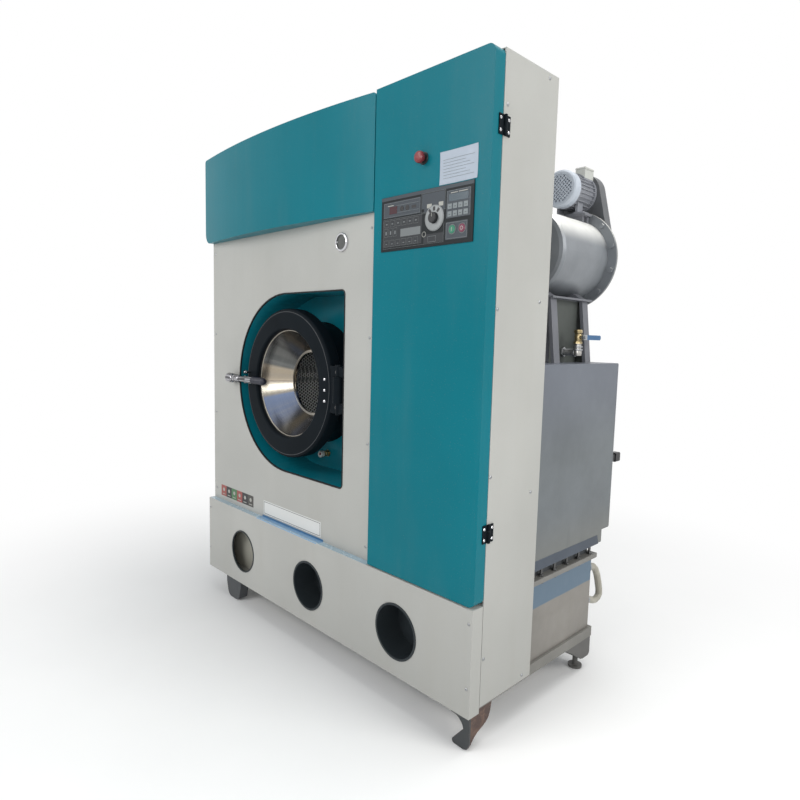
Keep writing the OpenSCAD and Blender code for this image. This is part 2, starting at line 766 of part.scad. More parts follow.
block_low = drum_z - hinge_block_h / 2;
block_top = drum_z + hinge_block_h / 2;
lug_gap = 90;
lug_r = 18;
block_back = pin_d + 30;
block_right = pin_u + 27;
module hinge_block() color("#1c1e20") difference() {
    union() {
        block([drum_u + ring_r - 22, pin_u], [ring_front + 3, block_back], [block_low, block_top]);
        front_plate([ring_front, block_back])
            polygon(rounded(pin_u - 36, block_right, block_low, block_top, 12));
    }
    rod_d(drum_u, drum_z, ring_r + seat, [ring_front - 1, block_back + 1]);
    block([pin_u - lug_r - 5, block_right + 1], [ring_front - 1, block_back + 1],
        [drum_z - lug_gap / 2, drum_z + lug_gap / 2]);
    rod_z(pin_u, pin_d, pin_r + fit, [block_low - 1, block_top + 1]);
}

bracket_w = 32;
module hinge_bracket() color("#1c1e20") difference() {
    union() {
        rod_z(pin_u, pin_d, lug_r, [drum_z - lug_gap / 2 + 1, drum_z + lug_gap / 2 - 1]);
        block([pin_u - bracket_w / 2, pin_u + bracket_w / 2], [pin_d, recess_back - sheet - 1],
            [drum_z - lug_gap / 2 + 1, drum_z + lug_gap / 2 - 1]);
        block([pin_u - bracket_w, pin_u + bracket_w - 4], [recess_back - sheet - 8, recess_back - sheet],
            [block_low - 10, block_top + 10]);
    }
    rod_z(pin_u, pin_d, pin_r + fit, [block_low, block_top]);
    for (z = [block_low + 8, block_top - 8])
        rod_d(pin_u, z, 4, [recess_back - sheet - 9, recess_back]);
}

module hinge_pin() color("silver") union() {
    rod_z(pin_u, pin_d, pin_r, [block_low - 4, block_top + 2]);
    rod_z(pin_u, pin_d, pin_r + 2.5, [block_top + 0.5, block_top + 5]);
}

bar_z = drum_z;
nut_r = 12;

// chrome bar on its spindle, with a ribbed grip at its right end and a stud for the knob
module clamp_handle() color("silver") union() {
    rod_d(spindle_u, bar_z, 15, [bar_d, ring_front - seat]);
    rod_d(spindle_u, bar_z, spindle_r, [bar_d, ring_back + 9]);
    rod_u(bar_d, bar_z, sleeve_r, [spindle_u - sleeve_l, spindle_u + sleeve_l]);
    rod_u(bar_d, bar_z, sleeve_r + 3, [spindle_u - sleeve_l, spindle_u - sleeve_l + 9]);
    rod_u(bar_d, bar_z, sleeve_r - 3, [spindle_u + sleeve_l - 1, spindle_u + grip_l]);
    for (i = [0:7]) rod_u(bar_d, bar_z, sleeve_r - 1, [spindle_u + sleeve_l + 6 + i * 8, spindle_u + sleeve_l + 11 + i * 8]);
    rod_u(bar_d, bar_z, knob_r * 0.35, [spindle_u - sleeve_l - knob_l + 5, spindle_u - sleeve_l + 1]);
    place() translate([spindle_u + grip_l, bar_d, bar_z]) sphere(r = sleeve_r - 1);
    place() translate([spindle_u, ring_back + seat, bar_z]) rotate([-90, 0, 0]) cylinder(r = nut_r, h = 8, $fn = 6);
}

knob_right = spindle_u - sleeve_l - seat;
module clamp_knob() color("silver") difference() {
    union() {
        place() translate([knob_right - knob_l, bar_d, bar_z]) rotate([0, 90, 0])
            cylinder(r = knob_r, h = knob_l * 0.45, $fn = 8);
        rod_u(bar_d, bar_z, knob_r * 0.72, [knob_right - knob_l * 0.6, knob_right]);
        rod_u(bar_d, bar_z, knob_r * 0.85, [knob_right - knob_l * 0.25, knob_right]);
    }
    rod_u(bar_d, bar_z, knob_r * 0.35 + fit, [knob_right - knob_l + 4, knob_right + 1]);
    for (a = [0:45:359]) place() translate([knob_right - knob_l - 1, bar_d, bar_z]) rotate([a + 22.5, 0, 0])
        translate([0, knob_r * 0.98, 0]) rotate([0, 90, 0]) cylinder(r = 3, h = knob_l * 0.45 + 2, $fn = 24);
}

// ---- tub, drum and drive ----

tub_front = recess_back;
tub_back = tub_front + tub_d;
collar_front = ring_back + 7;
hub_r = 40;
module tub() color("silver") turned(drum_u, drum_z) polygon([
    [collar_r + seat, tub_front], [tub_r, tub_front], [tub_r, tub_back], [hub_r, tub_back],
    [hub_r, tub_back - tub_t], [tub_r - tub_t, tub_back - tub_t], [tub_r - tub_t, tub_front + tub_t],
    [collar_r + seat, tub_front + tub_t]]);

module tub_collar() color("silver") turned(drum_u, drum_z) polygon([
    [collar_r - tub_t, collar_front], [collar_r, collar_front],
    [collar_r, tub_front + tub_t], [collar_r - tub_t, tub_front + tub_t]]);

module door_gasket() color("#202020") turned(drum_u, drum_z) polygon([
    [collar_r - 7, ring_back + seat], [collar_r + 7, ring_back + seat],
    [collar_r + 7, collar_front - 2], [collar_r + 4, collar_front],
    [collar_r - 5, collar_front], [collar_r - 7, collar_front - 2]]);

cage_front = tub_front + tub_t + 12;
cage_back = cage_front + cage_d;

// the drum's wall and front ring, with its lifters
module drum() color("silver") union() {
    turned(drum_u, drum_z) polygon([
        [cage_mouth, cage_front - 4], [cage_mouth + 3, cage_front - 4], [cage_mouth + 3, cage_front],
        [cage_r, cage_front], [cage_r, cage_back], [cage_r - cage_t, cage_back],
        [cage_r - cage_t, cage_front + cage_t], [cage_mouth, cage_front + cage_t]]);
    for (i = [0:lifters - 1]) place() translate([drum_u, 0, drum_z]) rotate([0, i * 360 / lifters + 30, 0])
        translate([0, cage_back - 12, 0]) rotate([90, 0, 0]) linear_extrude(cage_d - 30)
            polygon([[-34, cage_r - cage_t - 1], [-10, cage_r - lifter_h], [10, cage_r - lifter_h],
                [34, cage_r - cage_t - 1], [0, cage_r - 1]]);
}

rows = floor(hole_field / (hole_pitch * 0.866));
// the perforated back plate that shows through the door's glass
module drum_back() color("silver") difference() {
    rod_d(drum_u, drum_z, cage_r, [cage_back, cage_back + cage_t]);
    for (j = [-rows:rows]) {
        z = j * hole_pitch * 0.866;
        shift = abs(j) % 2 == 1 ? hole_pitch / 2 : 0;
        span = floor((sqrt(hole_field * hole_field - z * z) - shift) / hole_pitch);
        for (i = [-span:span]) {
            u = i * hole_pitch + shift;
            if (norm([u, z]) > 62 && norm([u, z]) < hole_field)
                rod_d(drum_u + u, drum_z + z, hole_dia / 2, [cage_back - 1, cage_back + cage_t + 1]);
        }
    }
}

housing_back = tub_back + 100;
pulley_front = housing_back + 18;
pulley_w = 34;
groove = belt_t - 2;

// outline of a pulley's rim with one groove, in (r, d)
module grooved(r, bore, d) polygon([
    [bore, d], [r, d], [r, d + (pulley_w - belt_w) / 2 - 1], [r - groove, d + (pulley_w - belt_w) / 2 + 1],
    [r - groove, d + (pulley_w + belt_w) / 2 - 1], [r, d + (pulley_w + belt_w) / 2 + 1],
    [r, d + pulley_w], [bore, d + pulley_w]]);

spokes = 5;
module drum_shaft() color("silver") union() {
    rod_d(drum_u, drum_z, 58, [cage_back + cage_t, cage_back + cage_t + 10]);
    rod_d(drum_u, drum_z, shaft_r, [cage_back + cage_t + 9, pulley_front + pulley_w + 6]);
    turned(drum_u, drum_z) grooved(drum_pulley_r, drum_pulley_r - 26, pulley_front);
    rod_d(drum_u, drum_z, 48, [pulley_front, pulley_front + pulley_w]);
    for (i = [0:spokes - 1]) place() translate([drum_u, pulley_front + 8, drum_z])
        rotate([0, i * 360 / spokes, 0]) translate([-16, 0, 40])
            cube([32, pulley_w - 16, drum_pulley_r - 60]);
}

module bearing_housing() color("dimgray") difference() {
    union() {
        rod_d(drum_u, drum_z, 130, [tub_back, tub_back + 10]);
        rod_d(drum_u, drum_z, 58, [tub_back + 9, housing_back]);
        for (i = [0:5]) place() translate([drum_u, tub_back + 9, drum_z]) rotate([0, i * 60, 0])
            translate([-5, 0, 50]) rotate([90, 0, 90]) linear_extrude(10)
                polygon([[0, 0], [0, 74], [12, 74], [80, 7], [80, 0]]);
    }
    rod_d(drum_u, drum_z, shaft_r + fit, [tub_back - 1, housing_back + 1]);
}

drive_z = mid_rail_z + post + drive_r + 17;
drive_front = cradle_d[1] - 20;
drive_stem = 14;
belt_mid = pulley_front + pulley_w / 2;

// a closed belt round two wheels of radius ra at a and rb at b
module belt_loop(a, ra, b, rb, t) {
    v = b - a;
    l = norm(v);
    base = atan2(v[1], v[0]);
    lean = acos((ra - rb) / l);
    difference() {
        belt_area(a, ra + t, b, rb + t, base, lean);
        belt_area(a, ra, b, rb, base, lean);
    }
}

module belt_area(a, ra, b, rb, base, lean) polygon(concat(
    arc(a[0], a[1], ra, base + lean, base + 360 - lean, 40),
    arc(b[0], b[1], rb, base - lean, base + lean, 24)));

module drive_belt() color("#151515") front_plate([belt_mid - belt_w / 2 + 2, belt_mid + belt_w / 2 - 2])
    belt_loop([drum_u, drum_z], drum_pulley_r - groove + seat, [drive_u, drive_z],
        drive_pulley_r - groove + seat, belt_t);

module drive_motor() color("#4b5a66") difference() {
    union() {
        rod_d(drive_u, drive_z, drive_r, [drive_front, housing_back - 2]);
        rod_d(drive_u, drive_z, drive_r - 8, [drive_front - 34, drive_front + 1]);
        block([drive_u - 78, drive_u + 78], [drive_front + 16, housing_back - 22],
            [mid_rail_z + post, mid_rail_z + post + 12]);
        for (s = [-1, 1]) block([drive_u + s * 52 - 9, drive_u + s * 52 + 9], [drive_front + 24, housing_back - 30],
            [mid_rail_z + post + 11, drive_z - 40]);
    }
    rod_d(drive_u, drive_z, drive_stem + fit, [housing_back - 60, housing_back]);
}

module motor_pulley() color("silver") union() {
    turned(drive_u, drive_z) grooved(drive_pulley_r, 0, pulley_front);
    rod_d(drive_u, drive_z, drive_stem, [housing_back - 58, pulley_front + 1]);
}

heater_d = [panel_back + post + 40, post_rear - 40];
heater_top = top_z - 40;
module heater_box() color("silver") union() {
    hollow_box([sheet + 8, post_right - 20], heater_d, [top_rail_z + post, heater_top], tank_wall);
    difference() {
        block([post_right - 21, blower_u], [heater_d[1] - 90, heater_d[1] + 10], [blower_z + 15, blower_z + 95]);
        rod_d(blower_u, blower_z, blower_r + seat, [heater_d[1] - 100, heater_d[1] + 20]);
    }
}

// ---- blower ----

blower_u = still_left + still_w / 2;
blower_front = still_front + blower_inset;
blower_back = blower_front + blower_l;
casing_t = 4;
bolt_out = blower_flange_r - 14;
motor_z = blower_z + motor_rise;

module blower_casing() color("silver") union() {
    turned(blower_u, blower_z) polygon([
        [0, blower_front], [blower_r - 16, blower_front], [blower_r - 5, blower_front + 4],
        [blower_r, blower_front + 14], [blower_r, blower_back], [blower_flange_r, blower_back],
        [blower_flange_r, blower_back + flange_plate], [blower_r - casing_t, blower_back + flange_plate],
        [blower_r - casing_t, blower_front + 16], [blower_r - 9, blower_front + casing_t + 4],
        [0, blower_front + casing_t]]);
    for (i = [0:flange_bolts_n - 1]) place() translate([blower_u, 0, blower_z])
        rotate([0, (i + 0.5) * 360 / flange_bolts_n, 0]) translate([0, blower_back - 7, bolt_out])
            rotate([-90, 0, 0]) cylinder(r = 9, h = 8, $fn = 6);
}

bearing_bore = 15;
// bolted cover with its bearing boss, and the bolts round its edge
module blower_cover() color("lightgray") difference() {
    union() {
        rod_d(blower_u, blower_z, blower_flange_r - 1.5, [blower_back + flange_plate, cover_back]);
        rod_d(blower_u, blower_z, 45, [cover_back - 1, guard_front]);
        for (i = [0:flange_bolts_n - 1]) place() translate([blower_u, 0, blower_z])
            rotate([0, (i + 0.5) * 360 / flange_bolts_n, 0]) translate([0, cover_back - 1, bolt_out])
                rotate([-90, 0, 0]) cylinder(r = 9, h = 9, $fn = 6);
    }
    rod_d(blower_u, blower_z, bearing_bore + fit, [blower_back, guard_front + 1]);
}

fan_front = blower_back - 120;
module fan_wheel() color("silver") union() {
    rod_d(blower_u, blower_z, bearing_bore, [fan_front + 30, guard_front + 37]);
    rod_d(blower_u, blower_z, 32, [fan_front + 60, fan_front + 104]);
    rod_d(blower_u, blower_z, fan_r, [fan_front + 100, fan_front + 104]);
    turned(blower_u, blower_z) polygon([[fan_r - 34, fan_front], [fan_r, fan_front],
        [fan_r, fan_front + 3], [fan_r - 34, fan_front + 3]]);
    for (i = [0:blades - 1]) place() translate([blower_u, fan_front + 2, blower_z])
        rotate([0, i * 360 / blades, 0]) translate([0, 0, fan_r - 20]) rotate([0, 32, 0])
            translate([-1.5, 0, -15]) cube([3, 99, 32]);
    turned(blower_u, blower_z) grooved(fan_pulley_r, 0, fan_pulley_front);
}

module motor_outline(r) union() {
    circle(r = r - 6);
    for (i = [0:ribs - 1]) rotate(i * 360 / ribs) translate([-1, 0]) square([2, r]);
}

cowl_front = guard_front - motor_l;
cowl_back = cowl_front + 32;
motor_stem = 10;
foot_plane = motor_z - motor_r - 19;

// ribbed motor with end shields, feet, junction box and cowl
module blower_motor() color("#8a8d96") difference() {
    union() {
        place() translate([blower_u, guard_front - 6, motor_z]) rotate([90, 0, 0])
            linear_extrude(guard_front - cowl_back - 8) motor_outline(motor_r);
        rod_d(blower_u, motor_z, motor_r + 1, [guard_front - 10, guard_front]);
        turned(blower_u, motor_z) polygon([[0, cowl_front + 4], [motor_r - 14, cowl_front + 4],
            [motor_r - 14, cowl_front], [motor_r - 6, cowl_front], [motor_r - 1, cowl_front + 4],
            [motor_r + 1, cowl_front + 10], [motor_r + 1, cowl_back + 4], [0, cowl_back + 4]]);
        for (s = [-1, 1]) block([blower_u + s * 44 - 20, blower_u + s * 44 + 20],
            [cowl_back + 22, blower_back - 12], [foot_plane, foot_plane + 6]);
        for (s = [-1, 1]) block([blower_u + s * 36 - 5, blower_u + s * 36 + 5],
            [cowl_back + 26, blower_back - 14], [foot_plane + 5, motor_z - 34]);
        front_plate([guard_front - 62, guard_front - 2])
            polygon(rounded(blower_u + 12, blower_u + 48, motor_z + 30, motor_z + 80, 9));
    }
    rod_d(blower_u, motor_z, motor_stem + fit, [guard_front - 50, guard_front + 1]);
    for (i = [-4:4]) for (j = [-4:4]) if (norm([i, j]) < 4.6)
        place() translate([blower_u, cowl_front + 3, motor_z]) rotate([0, 45, 0])
            translate([i * 9.5 - 3, 0, j * 9.5 - 3]) cube([6, 8, 6]);
}

fan_pulley_front = guard_front + 4;
fan_mid = fan_pulley_front + pulley_w / 2;
module fan_motor_pulley() color("silver") union() {
    turned(blower_u, motor_z) grooved(motor_pulley_r, 0, fan_pulley_front);
    rod_d(blower_u, motor_z, motor_stem, [guard_front - 48, fan_pulley_front + 1]);
}

module fan_belt() color("#151515") front_plate([fan_mid - belt_w / 2 + 2, fan_mid + belt_w / 2 - 2])
    belt_loop([blower_u, blower_z], fan_pulley_r - groove + seat, [blower_u, motor_z],
        motor_pulley_r - groove + seat, belt_t);

guard_back = guard_front + guard_d;
guard_top_r = motor_r + 12;
guard_low_r = fan_pulley_r + 32;
guard_lean = acos((guard_low_r - guard_top_r) / motor_rise);

module guard_outline(g) belt_area([blower_u, blower_z], guard_low_r + g, [blower_u, motor_z],
    guard_top_r + g, 90, guard_lean);

module belt_guard() color("gray") difference() {
    front_plate([guard_front, guard_back]) guard_outline(0);
    front_plate([guard_front + 2, guard_back - 2]) guard_outline(-2);
    rod_d(blower_u, blower_z, 24, [guard_front - 1, guard_front + 3]);
    rod_d(blower_u, motor_z, 18, [guard_front - 1, guard_front + 3]);
}

stand_top = blower_z - blower_r - 12;
stand_d = [blower_front, blower_front + 199];
leg_w = 35;
leg_top = 101;
leg_low = 125;
leg_plate = 12;
still_top = still_z + still_h;
duct_right = 84;

// slanting legs, saddles, the duct between them and the plate under the motor
module blower_stand() color("gray") union() {
    for (d = stand_d) {
        for (s = [-1, 1]) front_plate([d, d + leg_w]) polygon([
            [blower_u + s * leg_low, still_top], [blower_u + s * (leg_low - leg_plate), still_top],
            [blower_u + s * (leg_top - leg_plate), stand_top], [blower_u + s * leg_top, stand_top]]);
        difference() {
            front_plate([d, d + leg_w]) polygon([[blower_u - leg_top, stand_top + 5],
                [blower_u + leg_top, stand_top + 5], [blower_u + 62, stand_top + 28], [blower_u - 62, stand_top + 28]]);
            rod_d(blower_u, blower_z, blower_r + seat, [d - 1, d + leg_w + 1]);
        }
    }
    block([blower_u - leg_top - 14, blower_u + leg_top + 14], [stand_d[0] - 8, stand_d[1] + leg_w + 8],
        [stand_top, stand_top + 6]);
    motor_plate();
    hollow_box([blower_u - duct_right, blower_u + duct_right],
        [stand_d[0] + leg_w - 1, stand_d[1] + 1], [still_top, stand_top + 1], sheet);
}

module motor_plate() difference() {
    union() {
        block([blower_u - 74, blower_u + 74], [cowl_back + 18, blower_back - 8], [foot_plane - 8, foot_plane]);
        for (d = [cowl_back + 22, blower_back - 20])
            block([blower_u - 64, blower_u + 64], [d, d + 10], [blower_z + 100, foot_plane - 7]);
    }
    rod_d(blower_u, blower_z, blower_r + seat, [cowl_back, blower_back + 1]);
}

// ---- still ----

door_plate = 3;
// box with its vessel, the folded skirt below, and the ears and pins for the rear door
module still_box() color("slategray") union() {
    for (z = rear_door_hinge_z) {
        rod_z(rear_hinge_u, rear_hinge_d, rear_pin_r, [z - 10, z + 48]);
        rod_z(rear_hinge_u, rear_hinge_d, rear_knuckle_r, [z - 10, z - 1]);
        block([rear_hinge_u - rear_knuckle_r, still_left + 0.5],
            [rear_hinge_d - 30, rear_hinge_d - 5.5], [z - 10, z - 1]);
    }
    difference() {
        block([still_left, still_right], [still_front, still_rear], [still_z, still_top]);
        block([still_left + sheet, still_right - sheet], [still_front + sheet, still_rear + 1],
            [still_z + sheet, still_top - sheet]);
    }
    difference() {
        rod_z(blower_u, still_front + vessel_r + 60, vessel_r, [still_z + 1, still_top - 160]);
        rod_z(blower_u, still_front + vessel_r + 60, vessel_r - tank_wall, [still_z + 8, still_top - 170]);
    }
    block([still_left, still_right], [still_front, skirt_back], [skirt_low, still_z + 1]);
}

lower_flange_z = base_top + tank_h;
upper_flange_z = lower_flange_z + flange_t + flange_gap;
skirt_back = still_rear - 48;
skirt_low = upper_flange_z + angle_h;
vessel_r = 130;
rear_hinge_u = still_left - 6;
rear_knuckle_r = 6.5;
rear_hinge_d = still_rear + 5;
rear_pin_r = 4;
latch_u = still_right - 12;
latch_z = 735;
latch_stem = 5;
rear_door_hinge_z = [still_z + 90, still_top - 130];

module still_rear_door() color("slategray") difference() {
    union() {
        block([still_left + 2, still_right], [still_rear + seat, still_rear + seat + door_plate],
            [still_z + 3, still_top - 3]);
        for (z = rear_door_hinge_z) {
            rod_z(rear_hinge_u, rear_hinge_d, rear_knuckle_r, [z, z + 40]);
            block([rear_hinge_u, still_left + 30], [still_rear + seat + door_plate - 0.5, rear_hinge_d + 3], [z, z + 40]);
        }
    }
    for (z = rear_door_hinge_z) rod_z(rear_hinge_u, rear_hinge_d, rear_pin_r + fit, [z - 1, z + 41]);
    rod_d(latch_u, latch_z, latch_stem + fit, [still_rear - 1, still_rear + 12]);
}

// a black quarter-turn latch: a neck and a square head on a spindle through the door
module rear_latch() color("#17181a") union() {
    rod_d(latch_u, latch_z, latch_stem, [still_rear + seat, still_rear + 12]);
    front_plate([still_rear + seat + door_plate + 0.5, still_rear + 26])
        polygon(rounded(latch_u - 10, latch_u + 10, latch_z - 12, latch_z + 12, 3));
    front_plate([still_rear + 25, rear_reach - 1])
        polygon(rounded(latch_u - 13, latch_u + 13, latch_z - 16, latch_z + 16, 4));
}

tank_right = still_right - 6;
flange_right = body_w - sheet;
flange_left = still_left - 4;
flange_back = still_front + tank_d + 41;
first_stud = still_front + 71;
studs = floor((flange_back - 12 - first_stud) / stud_pitch);

// tank with its flange, the neck, the studs and the angle above
module flange_joint() color("gray") union() {
    difference() {
        block([flange_left + 10, tank_right], [still_front, still_front + tank_d], [base_top, lower_flange_z]);
        block([flange_left + 10 + tank_wall, tank_right - tank_wall],
            [still_front + tank_wall, still_front + tank_d - tank_wall],
            [base_top + tank_wall, lower_flange_z - 1]);
    }
    block([flange_left, flange_right], [still_front, flange_back], [lower_flange_z, lower_flange_z + flange_t]);
    block([flange_left + 24, flange_right - 26], [still_front + 8, flange_back - 26],
        [lower_flange_z + flange_t - 1, upper_flange_z + 1]);
    block([flange_left, flange_right], [still_front, flange_back + 2], [upper_flange_z, upper_flange_z + 6]);
    block([flange_left + 5, flange_right - 5], [still_front, flange_back - 3], [upper_flange_z + 5, skirt_low]);
    for (i = [0:studs])
        rod_z(flange_right - 14, first_stud + i * stud_pitch, 5,
            [lower_flange_z + flange_t - 1, upper_flange_z + 1]);
}

pipe_r = 10;
valve_d = 575;
valve_u = 1444;
valve_z = 1156;
pipe_z = 1106;

// pipe from the duct, elbow, union nut and brass valve body
module ball_valve() color("#b08d4a") difference() {
    union() {
        rod_u(valve_d, pipe_z, pipe_r, [blower_u + duct_right, valve_u]);
        rod_z(valve_u, valve_d, pipe_r, [pipe_z, valve_z + 24]);
        place() translate([valve_u, valve_d, pipe_z]) sphere(r = pipe_r + 3);
        rod_z(valve_u, valve_d, pipe_r + 4, [pipe_z + 8, pipe_z + 24]);
        rod_z(valve_u, valve_d, 16, [valve_z - 18, valve_z + 18]);
    }
    rod_u(valve_d, valve_z, 4 + fit, [valve_u + 6, valve_u + 30]);
}

// lever with its spindle, lying back along the depth when the valve is shut
module valve_lever() color("royalblue") union() {
    rod_u(valve_d, valve_z, 4, [valve_u + 8, valve_u + 28]);
    rod_u(valve_d, valve_z, 9, [valve_u + 16 + seat, valve_u + 22]);
    side_plate([valve_u + 19, valve_u + 24])
        polygon(rounded(valve_d - 8, valve_d + 108, valve_z - 8, valve_z + 8, 7.5));
}

hose_r = 12;
hose_u = still_right - 22;
hose_top = lower_flange_z - hose_r - 6;
hose_points = [[0, 0], [22, 0], [44, -6], [62, -20], [78, -44], [90, -74], [100, -104], [102, -122],
    [92, -134], [74, -138], [52, -134], [30, -124], [18, -118], [0, -118]];

function turn(p, i) = let (a = p[max(i - 1, 0)], b = p[min(i + 1, len(p) - 1)]) atan2(b[1] - a[1], b[0] - a[0]);

// one ring of the hose, square to its route
function hose_ring(p, i, n) = let (t = turn(p, i))
    [for (k = [0:n - 1]) let (a = k * 360 / n)
        [hose_u + hose_r * cos(a), still_front + tank_d + p[i][0] - hose_r * sin(a) * sin(t),
            hose_top + p[i][1] + hose_r * sin(a) * cos(t)]];

module drain_hose() color("#cfc7b4") {
    n = 12;
    m = len(hose_points);
    place() polyhedron(
        points = [for (i = [0:m - 1]) each hose_ring(hose_points, i, n)],
        faces = concat([[for (k = [0:n - 1]) k]],
            [for (i = [0:m - 2]) for (k = [0:n - 1])
                [i * n + k, (i + 1) * n + k, (i + 1) * n + (k + 1) % n, i * n + (k + 1) % n]],
            [[for (k = [n - 1:-1:0]) (m - 1) * n + k]]));
}

base_frame();
front_left_foot();
front_right_leg();
rear_feet();
upright_frame();
plinth_panel();
porthole_collars();
solvent_tank();
front_panel();
recess_pan();
sight_glass();
hood_cover();
side_panels();
column_cabinet();
switchgear();
column_door();
door_frame();
cabinet_hinges();
door_hinges();
control_panel();
program_dial();
start_button();
stop_button();
emergency_button();
button_collar();
door_ring();
door_funnel();
door_glass();
glass_retainer();
hinge_block();
hinge_bracket();
hinge_pin();
clamp_handle();
clamp_knob();
tub();
tub_collar();
door_gasket();
drum();
drum_back();
drum_shaft();
bearing_housing();
drive_belt();
drive_motor();
motor_pulley();
heater_box();
blower_casing();
blower_cover();
fan_wheel();
blower_motor();
fan_motor_pulley();
fan_belt();
belt_guard();
blower_stand();
still_box();
still_rear_door();
rear_latch();
flange_joint();
drain_hose();
ball_valve();
valve_lever();
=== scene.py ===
# %% [markdown]
# # A dry cleaning machine, dressed in Blender
# The machine comes packed from CAD as plain solids. This lesson gives it its paint, steel, rubber and
# glass, adds the small things that are too fine for CAD, and lights it as in a plain studio.
# The solids are the frame: they are never moved, and each new piece rides on one of their bodies.

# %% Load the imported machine
import bmesh
import bpy
import math
from mathutils import Matrix, Vector


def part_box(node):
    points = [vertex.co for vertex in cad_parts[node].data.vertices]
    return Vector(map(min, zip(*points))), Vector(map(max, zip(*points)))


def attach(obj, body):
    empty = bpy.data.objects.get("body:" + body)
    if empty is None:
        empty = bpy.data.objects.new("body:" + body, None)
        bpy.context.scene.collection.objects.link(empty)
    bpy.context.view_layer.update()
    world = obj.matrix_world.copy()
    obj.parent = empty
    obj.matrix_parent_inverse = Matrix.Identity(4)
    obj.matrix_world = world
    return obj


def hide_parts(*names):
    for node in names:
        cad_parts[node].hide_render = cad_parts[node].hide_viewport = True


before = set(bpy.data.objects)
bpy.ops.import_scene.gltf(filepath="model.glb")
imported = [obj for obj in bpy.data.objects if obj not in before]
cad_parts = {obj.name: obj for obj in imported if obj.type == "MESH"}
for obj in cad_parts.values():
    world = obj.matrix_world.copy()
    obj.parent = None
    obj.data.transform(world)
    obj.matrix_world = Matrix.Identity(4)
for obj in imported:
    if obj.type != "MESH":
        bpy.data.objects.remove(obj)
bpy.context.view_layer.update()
bpy.context.scene.view_settings.view_transform = "Standard"

# %% [markdown]
# Places on the machine are easiest to think of from its left front corner: along the front, back from
# the plinth, and up from the floor, in millimetres. One small helper turns them into metres in the
# machine's own frame, whose origin is the middle of its footprint. The plinth panel starts at that
# corner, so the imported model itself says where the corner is.

# %% From the machine's corner to the frame
plinth_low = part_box("plinth_panel")[0]
corner = Vector((plinth_low[0], plinth_low[1], 0.0)) * 1000


def spot(along, back, up):
    """A place in metres from millimetres along the front, back from the plinth and up."""
    return (Vector((along, back, up)) + corner) / 1000


drum_along, drum_up = 556, 958
print("drum axis at", spot(drum_along, 0, drum_up))

# %% [markdown]
# The camera stands at the front right corner, a little above the middle of the machine, and looks
# slightly down. Its place and lens were worked out from the upright edges and the long level edges.
# A camera's own axes are right, up and backwards, so these three make the columns of its matrix.

# %% Camera
right_of_view = Vector((0.69739, 0.71625, 0.02523))
up_of_view = Vector((-0.09092, 0.05350, 0.99442))
back_of_view = Vector((0.71090, -0.69579, 0.10243))
camera_data = bpy.data.cameras.new("camera")
camera_data.sensor_width = 36.0
camera_data.lens = 27.011
camera = bpy.data.objects.new("camera", camera_data)
turn = Matrix((right_of_view, up_of_view, back_of_view)).transposed()
camera.matrix_world = Matrix.Translation(spot(2459.7, -1233.2, 1138.4)) @ turn.to_4x4()
bpy.context.scene.collection.objects.link(camera)
bpy.context.scene.camera = camera
print("lens:", round(camera_data.lens, 2), "mm")

# %% [markdown]
# ## Shader maths
# Paint is built from noise, masks and mixes. Written as nodes and links this soon gets hard to read, so
# one small class wraps a socket and lets Python's own signs stand for Math nodes. A Finish holds the
# nodes of one material, and its node method makes any other node: settings first, then values or links.

# %% A socket that takes part in sums


class Signal:
    """An output socket that can be used in an expression."""

    def __init__(self, finish, socket):
        self.finish = finish
        self.socket = socket

    def maths(self, operation, *others):
        sockets = {i: value for i, value in enumerate((self,) + others)}
        return self.finish.node("Math", {"operation": operation}, sockets)

    def __add__(self, other):
        return self.maths("ADD", other)

    def __mul__(self, other):
        return self.maths("MULTIPLY", other)

    def __sub__(self, other):
        return self.maths("SUBTRACT", other)

    def __rsub__(self, other):
        return self.finish.node("Math", {"operation": "SUBTRACT"}, {0: other, 1: self})

    def __truediv__(self, other):
        return self.maths("DIVIDE", other)

    def __gt__(self, other):
        return self.maths("GREATER_THAN", other)

    def __lt__(self, other):
        return self.maths("LESS_THAN", other)

    __radd__ = __add__
    __rmul__ = __mul__

    def clipped(self):
        return self.maths("MAXIMUM", 0.0).maths("MINIMUM", 1.0)

    def between(self, low, high):
        """0 below low, 1 above high and smooth between them."""
        sockets = {"Value": self, "From Min": low, "From Max": high}
        return self.finish.node("MapRange", {"interpolation_type": "SMOOTHSTEP"}, sockets)


